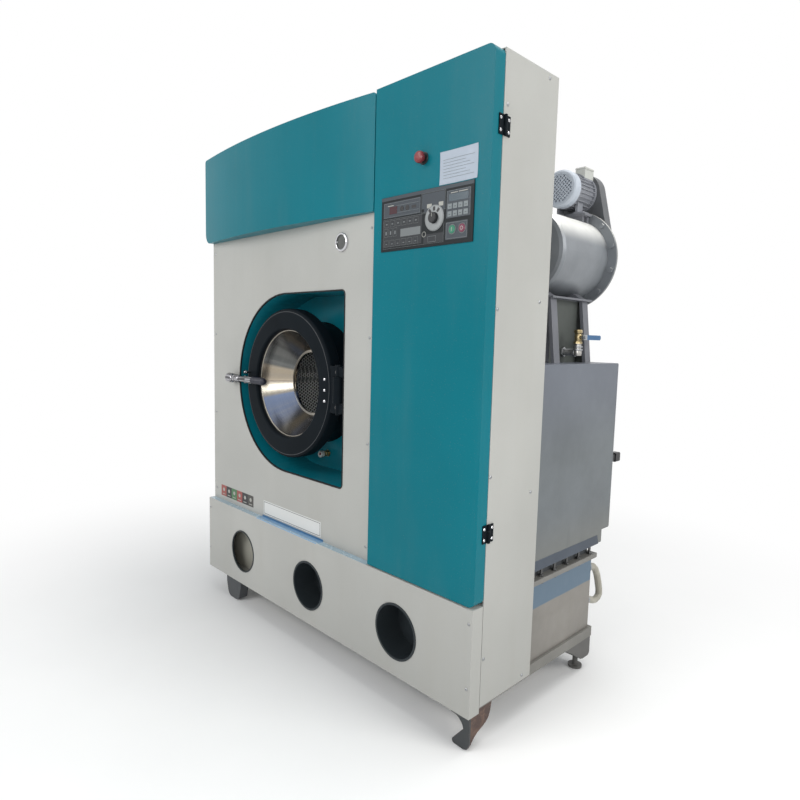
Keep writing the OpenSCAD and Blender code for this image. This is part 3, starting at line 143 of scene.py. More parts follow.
class Finish:
    """The nodes of one material, or of the world, under construction."""

    def __init__(self, owner):
        self.owner = owner
        owner.use_nodes = True
        self.tree = owner.node_tree
        self.tree.nodes.clear()
        self.place = self.node("TexCoord", {}, {}, "Object")

    def node(self, kind, settings, sockets, output=0):
        made = self.tree.nodes.new("ShaderNode" + kind)
        for key, value in settings.items():
            if key == "stops":
                ramp = made.color_ramp
                for i, (position, colour) in enumerate(value):
                    stop = ramp.elements[i] if i < 2 else ramp.elements.new(position)
                    stop.position = position
                    stop.color = (*colour, 1.0)
            else:
                setattr(made, key, value)
        for key, value in sockets.items():
            if isinstance(value, Signal):
                self.tree.links.new(value.socket, made.inputs[key])
            elif isinstance(value, tuple) and made.inputs[key].type == "RGBA":
                made.inputs[key].default_value = (*value[:3], 1.0)
            else:
                made.inputs[key].default_value = value
        return Signal(self, made.outputs[output])

    def stretched(self, scale=(1, 1, 1)):
        """The place on the piece, stretched along its axes."""
        return self.node("Mapping", {"vector_type": "TEXTURE"}, {"Vector": self.place, "Scale": scale})

    def noise(self, scale, detail=3.0, roughness=0.5, where=None, distortion=0.0):
        return self.node("TexNoise", {}, {
            "Vector": where or self.place, "Scale": scale, "Detail": detail, "Roughness": roughness,
            "Distortion": distortion})

    def mix(self, amount, first, second):
        return self.node("Mix", {"data_type": "RGBA"}, {0: amount, 6: first, 7: second}, 2)

    def axis(self, letter):
        return self.node("SeparateXYZ", {}, {0: self.place}, letter)

    def distance(self, middle):
        """How far a place is from the line along Y through a middle."""
        across, up = self.axis("X") - middle.x, self.axis("Z") - middle.z
        return (across * across + up * up).maths("SQRT")

    def normal(self):
        return self.node("NewGeometry", {}, {}, "Normal")

    def bump(self, height, strength, distance=0.001, below=None):
        sockets = {"Height": height, "Strength": strength, "Distance": distance}
        if below is not None:
            sockets["Normal"] = below
        return self.node("Bump", {}, sockets)

    def seen(self):
        """1 for what the camera sees straight, in a mirror or through a pane, and 0 for lighting."""
        straight, mirrored, through = (
            self.node("LightPath", {}, {}, f"Is {ray} Ray") for ray in ("Camera", "Glossy", "Transmission"))
        return (straight + mirrored + through).clipped()

    def shader(self, sockets):
        return self.node("BsdfPrincipled", {}, sockets)

    def close(self, shader, kind="Material"):
        output = self.tree.nodes.new("ShaderNodeOutput" + kind)
        self.tree.links.new(shader.socket, output.inputs["Surface"])
        return self.owner


print("signs in use: + - * / < >")

# %% [markdown]
# A maker is a function that adds nodes and gives back a shader. Most finishes are one row of a table: a
# name and the maker's settings, with the less common ones in a dict at the end of the row. All of them
# are kept by name.

# %% Finishes from tables
finishes = {}


def recipe(made, maker, *settings):
    if settings and isinstance(settings[-1], dict):
        return maker(made, *settings[:-1], **settings[-1])
    return maker(made, *settings)


def batch(maker, *rows):
    """One finish for each row, the same all over its solid."""
    for name, *settings in rows:
        made = Finish(bpy.data.materials.new(name))
        finishes[name] = made.close(recipe(made, maker, *settings))
    print(maker.__name__, "makes", len(rows), "finishes, from", rows[0][0], "to", rows[-1][0])


def divided(name, where, low, high, first, second):
    """Two finishes on one solid: the first below low and the second above high, along an axis or a way."""
    made = Finish(bpy.data.materials.new(name))
    way = made.axis(where) if isinstance(where, str) else where(made)
    sockets = {0: way.between(low, high), 1: recipe(made, *first), 2: recipe(made, *second)}
    finishes[name] = made.close(made.node("MixShader", {}, sockets))
    print(name, "changes at", round(low, 4), "m")


print("finishes so far:", len(finishes))

# %% [markdown]
# ## Light and floor
# Three big soft lamps light the front, the column's side and the top, and a small one behind the camera
# fills in. The room is plain and pale. Where the camera sees it, straight, mirrored or through a pane, it
# is white, and its light on the machine is dimmer, so that the paint keeps its own colour.

# %% Room
room = Finish(bpy.data.worlds.new("room"))
bpy.context.scene.world = room.owner
soft_room = room.node("Background", {}, {"Color": (0.93, 0.97, 1.0), "Strength": 0.42})
white_room = room.node("Background", {}, {"Color": (1.0, 1.0, 1.0), "Strength": 1.0})
room.close(room.node("MixShader", {}, {0: room.seen(), 1: soft_room, 2: white_room}), "World")


def lamp(name, place, target, size, power, colour):
    """A square soft lamp that faces a target."""
    data = bpy.data.lights.new(name, "AREA")
    data.size = size
    data.energy = power
    data.color = colour
    made = bpy.data.objects.new(name, data)
    facing = (Vector(target) - Vector(place)).to_track_quat("-Z", "Y")
    made.matrix_world = Matrix.Translation(place) @ facing.to_matrix().to_4x4()
    bpy.context.scene.collection.objects.link(made)


lamp("side_lamp", (5.0, 1.2, 3.2), (0.6, 0.0, 1.0), 2.4, 112, (1.0, 0.985, 0.95))
lamp("front_lamp", (-1.2, -4.8, 3.4), (0.0, 0.0, 1.0), 3.0, 118, (1.0, 0.995, 0.98))
lamp("top_lamp", (0.8, 0.6, 5.2), (0.3, 0.2, 1.4), 3.2, 130, (1.0, 0.99, 0.97))
lamp("fill_lamp", (2.2, -2.1, 1.5), (-0.2, 0.1, 1.0), 0.7, 16, (1.0, 1.0, 1.0))
print("lamps:", len(bpy.data.lights))

# %% [markdown]
# One bmesh, the form, is the workbench of the whole script. Each piece is built in it and written to a
# mesh, and then the form is cleared for the next one. The floor is the first thing made in it. It turns
# white away from the machine, and lies a little under it, so that no foot shares its plane.

# %% Floor
floor_half, floor_drop = 14.0, 0.0005
pale = Finish(bpy.data.materials.new("pale_floor"))
floor_tone = pale.mix(pale.noise(3.0, 4.0), (0.86, 0.86, 0.86), (0.90, 0.90, 0.90))
away = pale.node("VectorMath", {"operation": "LENGTH"}, {0: pale.place}, "Value")
painted = pale.shader({"Base Color": floor_tone, "Roughness": 0.75})
white = pale.node("Emission", {}, {"Color": (1.0, 1.0, 1.0), "Strength": 1.0})
whitened = away.between(0.8, 2.6) * pale.seen()
form = bmesh.new()
bmesh.ops.create_grid(form, x_segments=1, y_segments=1, size=floor_half)
floor_mesh = bpy.data.meshes.new("floor")
form.to_mesh(floor_mesh)
form.clear()
floor_mesh.materials.append(pale.close(pale.node("MixShader", {}, {0: whitened, 1: painted, 2: white})))
floor = bpy.data.objects.new("floor", floor_mesh)
floor.location.z = -floor_drop
bpy.context.scene.collection.objects.link(floor)
print("floor:", len(floor_mesh.polygons), "face")

# %% [markdown]
# ## Finishes
# Painted sheet metal is never quite flat and never quite clean. Slow noise in a bump lets its
# reflections wander as they do on thin steel, fine noise gives the orange peel of the paint, and a
# little dust gathers low down. Low down and towards the right the paint is darker, a painted shade for
# the darker reflection there. A thin clear coat carries the shine.

# %% Enamel on sheet metal


def scaled(colour, amount):
    return tuple(min(1.0, part * amount) for part in colour)


def enamel(made, colour, roughness, coat, dust_and_top_light=0.12, ripple=0.25, shine=0.2):
    clouds = made.noise(2.2, 4.0)
    streaks = made.noise(9.0, 5.0, 0.6, made.stretched((1, 1, 8)))
    low = 1 - made.axis("Z").between(0.05, 0.75)
    grime = (low * 0.6 + 0.4) * streaks.between(0.45, 0.8) * dust_and_top_light
    shade = made.mix(clouds.between(0.3, 0.7), scaled(colour, 0.94), scaled(colour, 1.04))
    # Darker towards the right and low down: a painted shade for the darker reflection there.
    painted_low_right_shade = made.axis("X").between(-0.3, 0.4) * low
    shade = made.mix(painted_low_right_shade * 0.55, shade, scaled(colour, 0.72))
    tone = made.mix(grime, shade, (0.30, 0.27, 0.22))
    specks = made.noise(420.0, 1.0)
    tone = made.mix(specks.between(0.70, 0.78) * 0.35, tone, (0.20, 0.19, 0.17))
    rough = made.noise(6.0, 5.0) * 0.10 + (roughness - 0.05) + grime * 0.3
    waves = made.bump(made.noise(2.6, 1.5), ripple, 0.012)
    peel = made.bump(made.noise(520.0, 2.0), 0.05, 0.0006, waves)
    return made.shader({"Base Color": tone, "Roughness": rough, "Coat Weight": coat, "Coat Roughness": 0.08,
                        "Specular IOR Level": shine, "Normal": peel})


batch(enamel,
      ("teal_enamel", (0.001, 0.152, 0.195), 0.30, 0.03, {"shine": 0.10}),
      # The recess takes a brighter copy of the teal enamel: painted light against the shade inside the
      # recess.
      ("recess_enamel", (0.003, 0.190, 0.250), 0.30, 0.05, {"shine": 0.15}),
      ("white_enamel", (0.430, 0.430, 0.408), 0.42, 0.04, 0.16, 0.12))

# %% [markdown]
# The frame, the still and the blower are brushed over with thick machine paint. Its bump is coarser,
# and along the edges it is worn to a paler tone; on the black enamel that paler edge is also a painted
# highlight. A Bevel node gives a rounded normal, and where that leans away from the real normal there
# is an edge. A tint changes the colour by place, before the edges go on: some tints are two colours of
# paint, and some are painted light and shade, as each one says.

# %% Machine paint


def edge_of(made, width):
    """1 along the edges of a piece and 0 on its flats."""
    soft = made.node("Bevel", {"samples": 4}, {"Radius": width})
    lean = made.node("VectorMath", {"operation": "DOT_PRODUCT"}, {0: soft, 1: made.normal()}, "Value")
    return (1 - lean).between(0.01, 0.25)


def paint(made, colour, roughness, worn, coat=0.0, metallic=0.0, wear=0.5, shine=0.3, tint=None):
    clouds = made.noise(5.0, 5.0, 0.6)
    shade = made.mix(clouds.between(0.25, 0.75), scaled(colour, 0.85), scaled(colour, 1.12))
    if tint:
        shade = tint(made, shade)
    rubbed_and_glint_edges = edge_of(made, 0.003) * made.noise(60.0, 4.0).between(0.42, 0.62) * wear
    tone = made.mix(rubbed_and_glint_edges, shade, worn)
    stains = made.noise(14.0, 6.0, 0.7, made.stretched((1, 1, 3)))
    tone = made.mix(stains.between(0.58, 0.85) * 0.35, tone, scaled(colour, 0.55))
    rough = made.noise(30.0, 4.0) * 0.18 + (roughness - 0.09)
    waves = made.bump(made.noise(4.0, 2.0), 0.2, 0.008)
    brushed_on = made.bump(made.noise(90.0, 3.0, 0.6), 0.18, 0.0008, waves)
    return made.shader({"Base Color": tone, "Roughness": rough, "Metallic": metallic, "Coat Weight": coat,
                        "Coat Roughness": 0.1, "Specular IOR Level": shine, "Normal": brushed_on})


def still_tint(made, shade):
    """The still is a little bluer at its top and warmer at its foot."""
    height = made.axis("Z")
    shade = made.mix(height.between(0.45, 0.62) * 0.8 + 0.2, (0.150, 0.155, 0.145), shade)
    return made.mix(height.between(0.75, 1.05) * 0.5, shade, (0.145, 0.160, 0.205))


def tank_sky_reflection(made, shade):
    """The upper part of the tank is painted blue, a painted reflection of the sky in its semi-gloss paint.
    """
    reflection_edge = made.axis("Z") + made.noise(8.0, 2.0) * 0.004
    return made.mix(reflection_edge.between(0.317, 0.321), shade, (0.098, 0.150, 0.205))


blower_along, motor_up, cowl_back = 1305, 1666, 673
body_radius, box_rise, box_back = 0.0655, 0.030, 0.040


def motor_tint(made, shade):
    """A lavender cowl in front of the finned body, and a cream box on top of it."""
    middle = spot(blower_along, cowl_back, motor_up)
    cowl = 1 - made.axis("Y").between(middle.y - 0.0005, middle.y + 0.0005)
    shade = made.mix(cowl, shade, (0.470, 0.515, 0.580))
    up = made.axis("Z") - middle.z
    outside = made.distance(middle) > body_radius
    box = outside * (up > box_rise) * (made.axis("Y") > middle.y + box_back)
    return made.mix(box, shade, (0.500, 0.510, 0.480))


def lit_top_highlight(made, shade):
    """Faces that turn upwards are painted pale, a painted highlight where the light falls from above."""
    upwards = made.node("SeparateXYZ", {}, {0: made.normal()}, "Z")
    dust_and_top_light = upwards.between(0.20, 0.75) * (made.noise(20.0, 4.0) * 0.3 + 0.85)
    return made.mix(dust_and_top_light.clipped(), shade, (0.86, 0.86, 0.83))


stand_back, stand_top, duct_half = 458, 1279, 0.0845


def stand_duct_shade(made, shade):
    """The air duct between the legs of the stand is painted dark, a painted shade where it lies in shadow.
    """
    front, rear = spot(blower_along, stand_back + 34, stand_top), spot(blower_along, stand_back + 200, 0)
    across, back = made.axis("X"), made.axis("Y")
    shaded_duct = (across > front.x - duct_half) * (across < front.x + duct_half)
    shaded_duct = shaded_duct * (back > front.y) * (back < rear.y) * (made.axis("Z") < front.z - 0.001)
    return made.mix(shaded_duct, shade, (0.070, 0.078, 0.072))


batch(paint,
      ("frame_paint", (0.075, 0.080, 0.085), 0.55, (0.22, 0.21, 0.20)),
      ("rail_paint", (0.185, 0.180, 0.165), 0.5, (0.30, 0.29, 0.27)),
      ("foot_paint", (0.105, 0.103, 0.098), 0.5, (0.25, 0.24, 0.23)),
      ("still_paint", (0.125, 0.140, 0.150), 0.40, (0.26, 0.27, 0.27),
       {"coat": 0.05, "wear": 0.35, "tint": still_tint}),
      ("tank_paint", (0.220, 0.207, 0.188), 0.42, (0.4, 0.4, 0.4), {"metallic": 0.1, "tint": tank_sky_reflection}),
      ("box_paint", (0.220, 0.225, 0.230), 0.42, (0.4, 0.4, 0.4), {"metallic": 0.15}),
      ("flange_paint", (0.190, 0.185, 0.172), 0.42, (0.40, 0.42, 0.44)),
      ("cover_paint", (0.275, 0.285, 0.300), 0.42, (0.6, 0.6, 0.6), {"wear": 0.9}),
      ("angle_paint", (0.050, 0.064, 0.086), 0.40, (0.24, 0.27, 0.31)),
      ("blower_paint", (0.225, 0.240, 0.258), 0.40, (0.45, 0.45, 0.45),
       {"metallic": 0.3, "tint": lit_top_highlight}),
      ("stand_paint", (0.160, 0.165, 0.185), 0.5, (0.28, 0.28, 0.28), {"tint": stand_duct_shade}),
      ("guard_paint", (0.115, 0.120, 0.128), 0.45, (0.3, 0.3, 0.3), {"metallic": 0.1}),
      ("motor_paint", (0.255, 0.265, 0.295), 0.38, (0.42, 0.42, 0.44), {"coat": 0.1, "tint": motor_tint}),
      # This near-black paint is a painted shade, for the plate between the stand's legs.
      ("web_paint", (0.070, 0.078, 0.072), 0.5, (0.2, 0.2, 0.2)),
      ("casting_paint", (0.10, 0.11, 0.12), 0.5, (0.3, 0.3, 0.3)),
      # The black enamel's paler edges are also a painted highlight along its rounded edges.
      ("black_enamel", (0.007, 0.010, 0.013), 0.40, (0.06, 0.065, 0.07), {"wear": 0.6, "shine": 0.03}))

# %% [markdown]
# The front leg is a bent plate. Its flange towards the front is dark, partly with paint and partly
# with painted shade, as that flange lies in shadow. Its web towards the side has rusted.

# %% Rusty leg


def rust(made):
    patches = made.noise(28.0, 8.0, 0.65, distortion=0.6)
    flakes = made.noise(160.0, 6.0, 0.7)
    bare = made.mix(patches.between(0.40, 0.62), (0.060, 0.036, 0.030), (0.125, 0.075, 0.055))
    bare = made.mix(flakes.between(0.55, 0.75) * 0.6, bare, (0.24, 0.16, 0.10))
    bare = made.mix(made.noise(9.0, 3.0).between(0.5, 0.75) * 0.6, bare, (0.06, 0.055, 0.055))
    return made.shader({"Base Color": bare, "Roughness": flakes * 0.3 + 0.55,
                        "Normal": made.bump(flakes + patches, 0.5, 0.0012)})


leg_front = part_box("front_right_leg")[0][1]
# The dark paint of the front flange is partly painted shade.
divided("rusty_leg", "Y", leg_front + 0.0055, leg_front + 0.007,
        (paint, (0.045, 0.049, 0.052), 0.5, (0.15, 0.11, 0.09), {"wear": 0.9}), (rust,))

# %% [markdown]
# Stainless steel is drawn, rolled or spun, and the tool leaves fine lines. On flat sheet they run one
# way, and on the spun cone of the door they run round its axis. The lines are noise, squeezed hard
# across their length, and they move the roughness and the bump, never the colour by much.

# %% Rolled steel


def rolled_steel(made, colour, roughness, fineness=60, bite=0.25, metallic=1.0):
    lines = made.noise(14.0, 6.0, 0.65, made.stretched((1, 1, 1 / fineness)))
    clouds = made.noise(4.0, 4.0)
    tone = made.mix(clouds.between(0.3, 0.7), scaled(colour, 0.88), colour)
    tone = made.mix(lines.between(0.5, 0.9) * 0.3, tone, scaled(colour, 0.7))
    rough = lines * 0.16 + (roughness - 0.05)
    return made.shader({"Base Color": tone, "Metallic": metallic, "Roughness": rough,
                        "Normal": made.bump(lines, bite, 0.0004)})


batch(rolled_steel,
      ("dull_steel", (0.36, 0.35, 0.30), 0.45, {"metallic": 0.25}),
      ("turned_aluminium", (0.25, 0.265, 0.27), 0.34, 12, 0.12, 0.5))

# %% [markdown]
# The polished cone of the door mirrors its yard in wedges: warm ground to the left, pale sky below it,
# and dark steel above. These reflections are painted: a colour ramp round the axis holds those few
# tones, and soft noise round the axis darkens fans across them, also painted reflection, fainter on the
# drum and its bezels. The drum behind it is drilled all over, in rows set half a step apart. Two grids
# of points, one shifted by half a step both ways, give the distance to the nearest hole.

# %% Spun and drilled steel
drum_axis = spot(drum_along, 0, drum_up)


def spun_steel(made, colour, roughness, fans=0.35, wedges=None, drilled=None):
    across, up = made.axis("X") - drum_axis.x, made.axis("Z") - drum_axis.z
    angle = made.node("Math", {"operation": "ARCTAN2"}, {0: up, 1: across})
    rings = made.node("CombineXYZ", {}, {
        0: made.distance(drum_axis) * 900.0, 1: made.axis("Y") * 900.0, 2: angle * 1.5})
    lines = made.noise(1.0, 5.0, 0.6, rings)
    # Darker fans round the axis are a painted reflection.
    reflection_fans = made.node("TexNoise", {"noise_dimensions": "1D"}, {"W": angle, "Scale": 3.2, "Detail": 3.0})
    tone = colour
    if wedges:
        tone = made.node("ValToRGB", {"stops": wedges}, {0: angle / math.tau + 0.5})
    tone = made.mix(reflection_fans.between(0.40, 0.60) * fans, tone, scaled(colour, 0.42))
    tone = made.mix(lines.between(0.45, 0.8) * 0.25, tone, scaled(colour, 0.7))
    metallic = 1.0
    if drilled:
        wall, step, hole = drilled
        row = step * math.sqrt(3)
        around, along = angle * (wall / step), made.axis("Y") * (1 / row)
        nearest = None
        for shift in (40.0, 40.5):
            aside = ((around + shift).maths("FRACT") - 0.5) * step
            beyond = ((along + shift).maths("FRACT") - 0.5) * row
            away = (aside * aside + beyond * beyond).maths("SQRT")
            nearest = away if nearest is None else nearest.maths("MINIMUM", away)
        web = nearest.between(hole * 0.9, hole * 1.1)
        tone = made.mix(web, (0.004, 0.004, 0.004), tone)
        metallic = web * 0.1
    rough = lines * 0.10 + (roughness - 0.03)
    return made.shader({"Base Color": tone, "Metallic": metallic, "Roughness": rough,
                        "Normal": made.bump(lines, 0.12, 0.0003)})


# The ramp holds painted reflections: the ground, the sky and dark steel seen in the cone.
ground_reflection, dark_reflection = (0.235, 0.21, 0.165), (0.10, 0.09, 0.08)
yard_reflection = [(0.00, (0.25, 0.205, 0.16)), (0.01, ground_reflection), (0.05, ground_reflection), (0.06, (0.17, 0.22, 0.34)),
        (0.15, (0.15, 0.18, 0.26)), (0.20, (0.16, 0.15, 0.13)), (0.50, (0.30, 0.28, 0.26)),
        (0.75, dark_reflection), (0.94, (0.12, 0.125, 0.125)), (0.95, (0.38, 0.32, 0.24))]
drum_wall, hole_step, hole_radius = 0.362, 0.0125, 0.0043
batch(spun_steel,
      ("cone_steel", (0.70, 0.695, 0.67), 0.20, 0.25, yard_reflection),
      ("drum_steel", (0.95, 0.95, 0.92), 0.45, 0.1, None, (drum_wall, hole_step, hole_radius)),
      ("bezel_steel", (0.46, 0.43, 0.37), 0.25, 0.1))

# %% Chrome, zinc and brass


def plating(made, colour, roughness, streaks=0.0):
    smears = made.noise(40.0, 4.0)
    pits = made.noise(700.0, 2.0).between(0.68, 0.75)
    along = made.noise(240.0, 2.0, 0.5, made.stretched((60, 1, 1)))
    tone = made.mix(along.between(0.44, 0.56) * streaks, colour, scaled(colour, 0.12))
    tone = made.mix(pits * 0.6, tone, scaled(colour, 0.4))
    rough = smears * 0.12 + (roughness - 0.04) + pits * 0.2
    return made.shader({"Base Color": tone, "Metallic": 1.0, "Roughness": rough,
                        "Normal": made.bump(made.noise(300.0, 2.0), 0.03, 0.0004)})


brass_colour = (0.36, 0.29, 0.16)
batch(plating,
      ("chrome", (0.62, 0.62, 0.64), 0.10),
      ("clamp_chrome", (0.40, 0.40, 0.42), 0.12, 0.9),
      ("zinc", (0.34, 0.35, 0.36), 0.36),
      ("dark_zinc", (0.12, 0.12, 0.12), 0.40),
      ("bright_brass", brass_colour, 0.36))
divided("valve_brass", "Z", 1.134, 1.136,
        (plating, (0.40, 0.39, 0.37), 0.35), (plating, brass_colour, 0.36))

# %% [markdown]
# Plastics and rubber differ in their grain. Moulded black plastic has a fine leather grain, rubber is
# duller with a bloom, and the glossy buttons have hardly any grain at all.

# %% Plastics and rubber


def plastic(made, colour, roughness, grain, bite, coat=0.0, bloom=0.1, shine=0.4):
    bloom_mask = made.noise(18.0, 5.0, 0.6).between(0.5, 0.8) * bloom
    tone = made.mix(bloom_mask, colour, tuple(min(1.0, part * 1.8 + 0.03) for part in colour))
    rough = made.noise(25.0, 4.0) * 0.15 + (roughness - 0.07)
    return made.shader({"Base Color": tone, "Roughness": rough, "Coat Weight": coat,
                        "Specular IOR Level": shine,
                        "Normal": made.bump(made.noise(grain, 2.0), bite, 0.0005)})


batch(plastic,
      ("black_plastic", (0.014, 0.015, 0.017), 0.40, 900.0, 0.2),
      ("cup_plastic", (0.024, 0.030, 0.034), 0.30, 900.0, 0.05, 0.05, {"shine": 0.15}),
      ("black_rubber", (0.013, 0.013, 0.014), 0.6, 500.0, 0.25, {"bloom": 0.2, "shine": 0.2}),
      ("grip_plastic", (0.010, 0.012, 0.026), 0.32, 700.0, 0.1, 0.1),
      ("red_plastic", (0.200, 0.027, 0.032), 0.34, 300.0, 0.04, 0.1, 0.03),
      ("green_plastic", (0.020, 0.180, 0.105), 0.30, 300.0, 0.04, 0.2, 0.03),
      ("purple_red", (0.160, 0.025, 0.060), 0.30, 300.0, 0.04, 0.2, 0.03),
      ("cream_hose", (0.330, 0.315, 0.265), 0.42, 200.0, 0.1, 0.05, 0.3),
      ("cream_box", (0.500, 0.505, 0.475), 0.40, 300.0, 0.08, 0.1, 0.2),
      # This pale edge finish is a painted highlight on the door ring.
      ("worn_edge", (0.028, 0.032, 0.036), 0.4, 400.0, 0.05),
      ("printed_film", (0.017, 0.020, 0.022), 0.34, 800.0, 0.05, 0.0, 0.08, 0.12))
sleeve_start = spot(0, 591, 0).y
divided("blue_lever", "Y", sleeve_start, sleeve_start + 0.001, (plating, (0.42, 0.44, 0.45), 0.3),
        (plastic, (0.020, 0.100, 0.230), 0.38, 400.0, 0.1, 0.1, 0.05))

# %% [markdown]
# The round pane of the door is nearly clear, so it is a thin smudged film over what lies behind it. The
# sight glass has a dark lens in a chrome ring, on one solid. The tub is painted dark where its mouth
# shows behind the door, a painted shade for the dark gap there, and is bare steel further back.

# %% Glass and the tub


def pane(made):
    smudges = made.noise(12.0, 5.0, 0.6)
    return made.shader({"Base Color": (0.10, 0.12, 0.13), "Roughness": smudges * 0.06 + 0.02,
                        "Alpha": smudges.between(0.35, 0.8) * 0.04 + 0.03, "Specular IOR Level": 0.4,
                        "Normal": made.bump(made.noise(6.0, 2.0), 0.05, 0.002)})


batch(pane, ("door_pane",))
sight_low, sight_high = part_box("sight_glass")
sight_middle = (Vector(sight_low) + Vector(sight_high)) / 2
divided("ringed_lens", lambda made: made.distance(sight_middle), 0.0235, 0.0245,
        (plastic, (0.060, 0.065, 0.060), 0.12, 300.0, 0.02, 0.5, 0.4), (plating, (0.62, 0.62, 0.64), 0.10))
# The tub's front is dark with painted shade, for the gap behind the door.
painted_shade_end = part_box("tub")[0][1] + 0.060
divided("tub_shade_and_steel", "Y", painted_shade_end, painted_shade_end + 0.001,
        (paint, (0.007, 0.010, 0.013), 0.4, (0.06, 0.065, 0.07), {"shine": 0.03}),
        (rolled_steel, (0.60, 0.60, 0.585), 0.30))

# %% [markdown]
# Every CAD node gets its finish here. The node keeps its mesh, and only its material changes.

# %% Finishes of the solids
nodes_of_finish = {
    "white_enamel": "plinth_panel front_panel side_panels column_cabinet",
    "teal_enamel": "hood_cover column_door door_frame", "recess_enamel": "recess_pan",
    "rail_paint": "base_frame", "frame_paint": "front_left_foot upright_frame", "foot_paint": "rear_feet",
    "rusty_leg": "front_right_leg", "still_paint": "still_box still_rear_door",
    "tank_paint": "flange_joint", "box_paint": "heater_box", "blower_paint": "blower_casing",
    "cover_paint": "blower_cover",
    "stand_paint": "blower_stand", "guard_paint": "belt_guard", "motor_paint": "drive_motor blower_motor",
    "casting_paint": "drum_shaft bearing_housing motor_pulley fan_motor_pulley",
    # The tub's collar is black enamel as a painted shade, for the shadow of the door ring beside it.
    "black_enamel": "cabinet_hinges door_hinges door_ring hinge_block hinge_bracket hinge_pin tub_collar",
    "dull_steel": "solvent_tank", "turned_aluminium": "program_dial fan_wheel",
    "cone_steel": "door_funnel glass_retainer", "drum_steel": "drum", "bezel_steel": "drum_back",
    "tub_shade_and_steel": "tub", "clamp_chrome": "clamp_handle clamp_knob", "valve_brass": "ball_valve",
    "black_plastic": "switchgear button_collar rear_latch", "cup_plastic": "porthole_collars",
    "printed_film": "control_panel", "red_plastic": "emergency_button", "green_plastic": "start_button",
    "purple_red": "stop_button", "black_rubber": "door_gasket drive_belt fan_belt",
    "cream_hose": "drain_hose", "blue_lever": "valve_lever", "ringed_lens": "sight_glass",
    "door_pane": "door_glass"}
dressed = set()
for finish, names in nodes_of_finish.items():
    for name in names.split():
        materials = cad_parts[name].data.materials
        materials.clear()
        materials.append(finishes[finish])
        dressed.add(name)
print("dressed nodes:", len(dressed), "and left bare:", len(set(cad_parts) - dressed))

# %% [markdown]
# ## Helpers for the small pieces
# CAD left the fine things to this script: trim, screw heads, keys and plates. They share three ways of
# making. A slab is a cube with rounded edges. A turned piece is an outline spun round an axis. A hexagon
# is a short cone of equal ends. Each helper adds to the form, and one call closes it into a piece that
# rides on a body, with its doubles merged and its faces turned outwards.

# %% Close the form into a piece


def piece(name, finish, body="machine"):
    bmesh.ops.remove_doubles(form, verts=form.verts, dist=0.00002)
    bmesh.ops.recalc_face_normals(form, faces=form.faces)
    mesh = bpy.data.meshes.new(name)
    form.to_mesh(mesh)
    form.clear()
    mesh.materials.append(finishes[finish])
    made = bpy.data.objects.new(name, mesh)
    bpy.context.scene.collection.objects.link(made)
    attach(made, body)
    print(name, "has", len(mesh.polygons), "faces")
    return made


# %% Slabs, turned pieces and hexagons
FRONT, BACK, LEFT, RIGHT, UP, DOWN = (0, -1, 0), (0, 1, 0), (-1, 0, 0), (1, 0, 0), (0, 0, 1), (0, 0, -1)


def edges_of(corners):
    return list({reflection_edge for corner in corners for reflection_edge in corner.link_edges})


def rounded(corners, rounding, segments):
    bmesh.ops.bevel(form, geom=edges_of(corners), offset=rounding / 1000, offset_type="OFFSET",
                    affect="EDGES", segments=segments, profile=0.5, material=-1)


def slab(along, back, up, rounding=0.0, segments=2):
    """A box between two places, given in millimetres, with its edges rounded."""
    low, high = spot(along[0], back[0], up[0]), spot(along[1], back[1], up[1])
    place = Matrix.LocRotScale((low + high) / 2, None, high - low)
    corners = bmesh.ops.create_cube(form, size=1.0, matrix=place)["verts"]
    if rounding:
        rounded(corners, rounding, segments)


def outline(along, back, up, line):
    """A frame of four thin strips, with its line inside the rectangle."""
    for low in (along[0], along[1] - line):
        slab((low, low + line), back, up)
    for low in (up[0], up[1] - line):
        slab((along[0] + line, along[1] - line), back, (low, low + line))


def turned(section, place, facing, steps=24):
    """A turned piece: section holds radius and height in millimetres, and heights grow along facing."""
    facing = Vector(facing)
    across = facing.orthogonal().normalized()
    points = [form.verts.new(place + across * radius / 1000 + facing * height / 1000)
              for radius, height in section]
    edges = [form.edges.new(pair) for pair in zip(points, points[1:])]
    bmesh.ops.spin(form, geom=points + edges, cent=place, axis=facing, angle=math.tau, steps=steps,
                   use_merge=True)


def rod(radius, low, high):
    """The section of a plain rod."""
    return [(0, low), (radius, low), (radius, high), (0, high)]


def band(inner, outer, low, high):
    """The section of a ring with square edges."""
    return [(inner, low), (outer, low), (outer, high), (inner, high), (inner, low)]


def hexagon(place, facing, radius, height, chamfer=0.8, twist=0.0, sides=6):
    """A hexagon nut or bolt head that stands on a place; a knob may have more sides."""
    facing = Vector(facing)
    square_on = facing.to_track_quat("Z", "Y").to_matrix().to_4x4() @ Matrix.Rotation(twist, 4, "Z")
    middle = Matrix.Translation(place + facing * height / 2000)
    corners = bmesh.ops.create_cone(form, cap_ends=True, segments=sides, radius1=radius / 1000,
                                    radius2=radius / 1000, depth=height / 1000,
                                    matrix=middle @ square_on)["verts"]
    rounded(corners, chamfer, 1)


def screw_head(place, facing, radius=4.6, height=2.6):
    """A pan head with a small drive recess."""
    section = ((0, 0.45), (0.28, 0.5), (0.34, 0.97), (0.62, 0.9), (0.88, 0.6), (1, 0.2), (1, 0), (0, 0))
    turned([(radius * out, height * rise) for out, rise in section], place, facing, 14)


print("helpers for slabs, turned pieces, hexagons and screws")

# %% [markdown]
# ## Screws
# The panels are held by small zinc screws. Their places repeat down the edges of each panel, so a loop
# over heights and sides makes them, and each panel's screws are one piece.

# %% Panel screws
front_face, right_face = 27, 1500
for along in (19, 1028):
    for up in (457, 797, 1137, 1476):
        screw_head(spot(along, front_face, up), FRONT)
piece("front_panel_screws", "zinc")

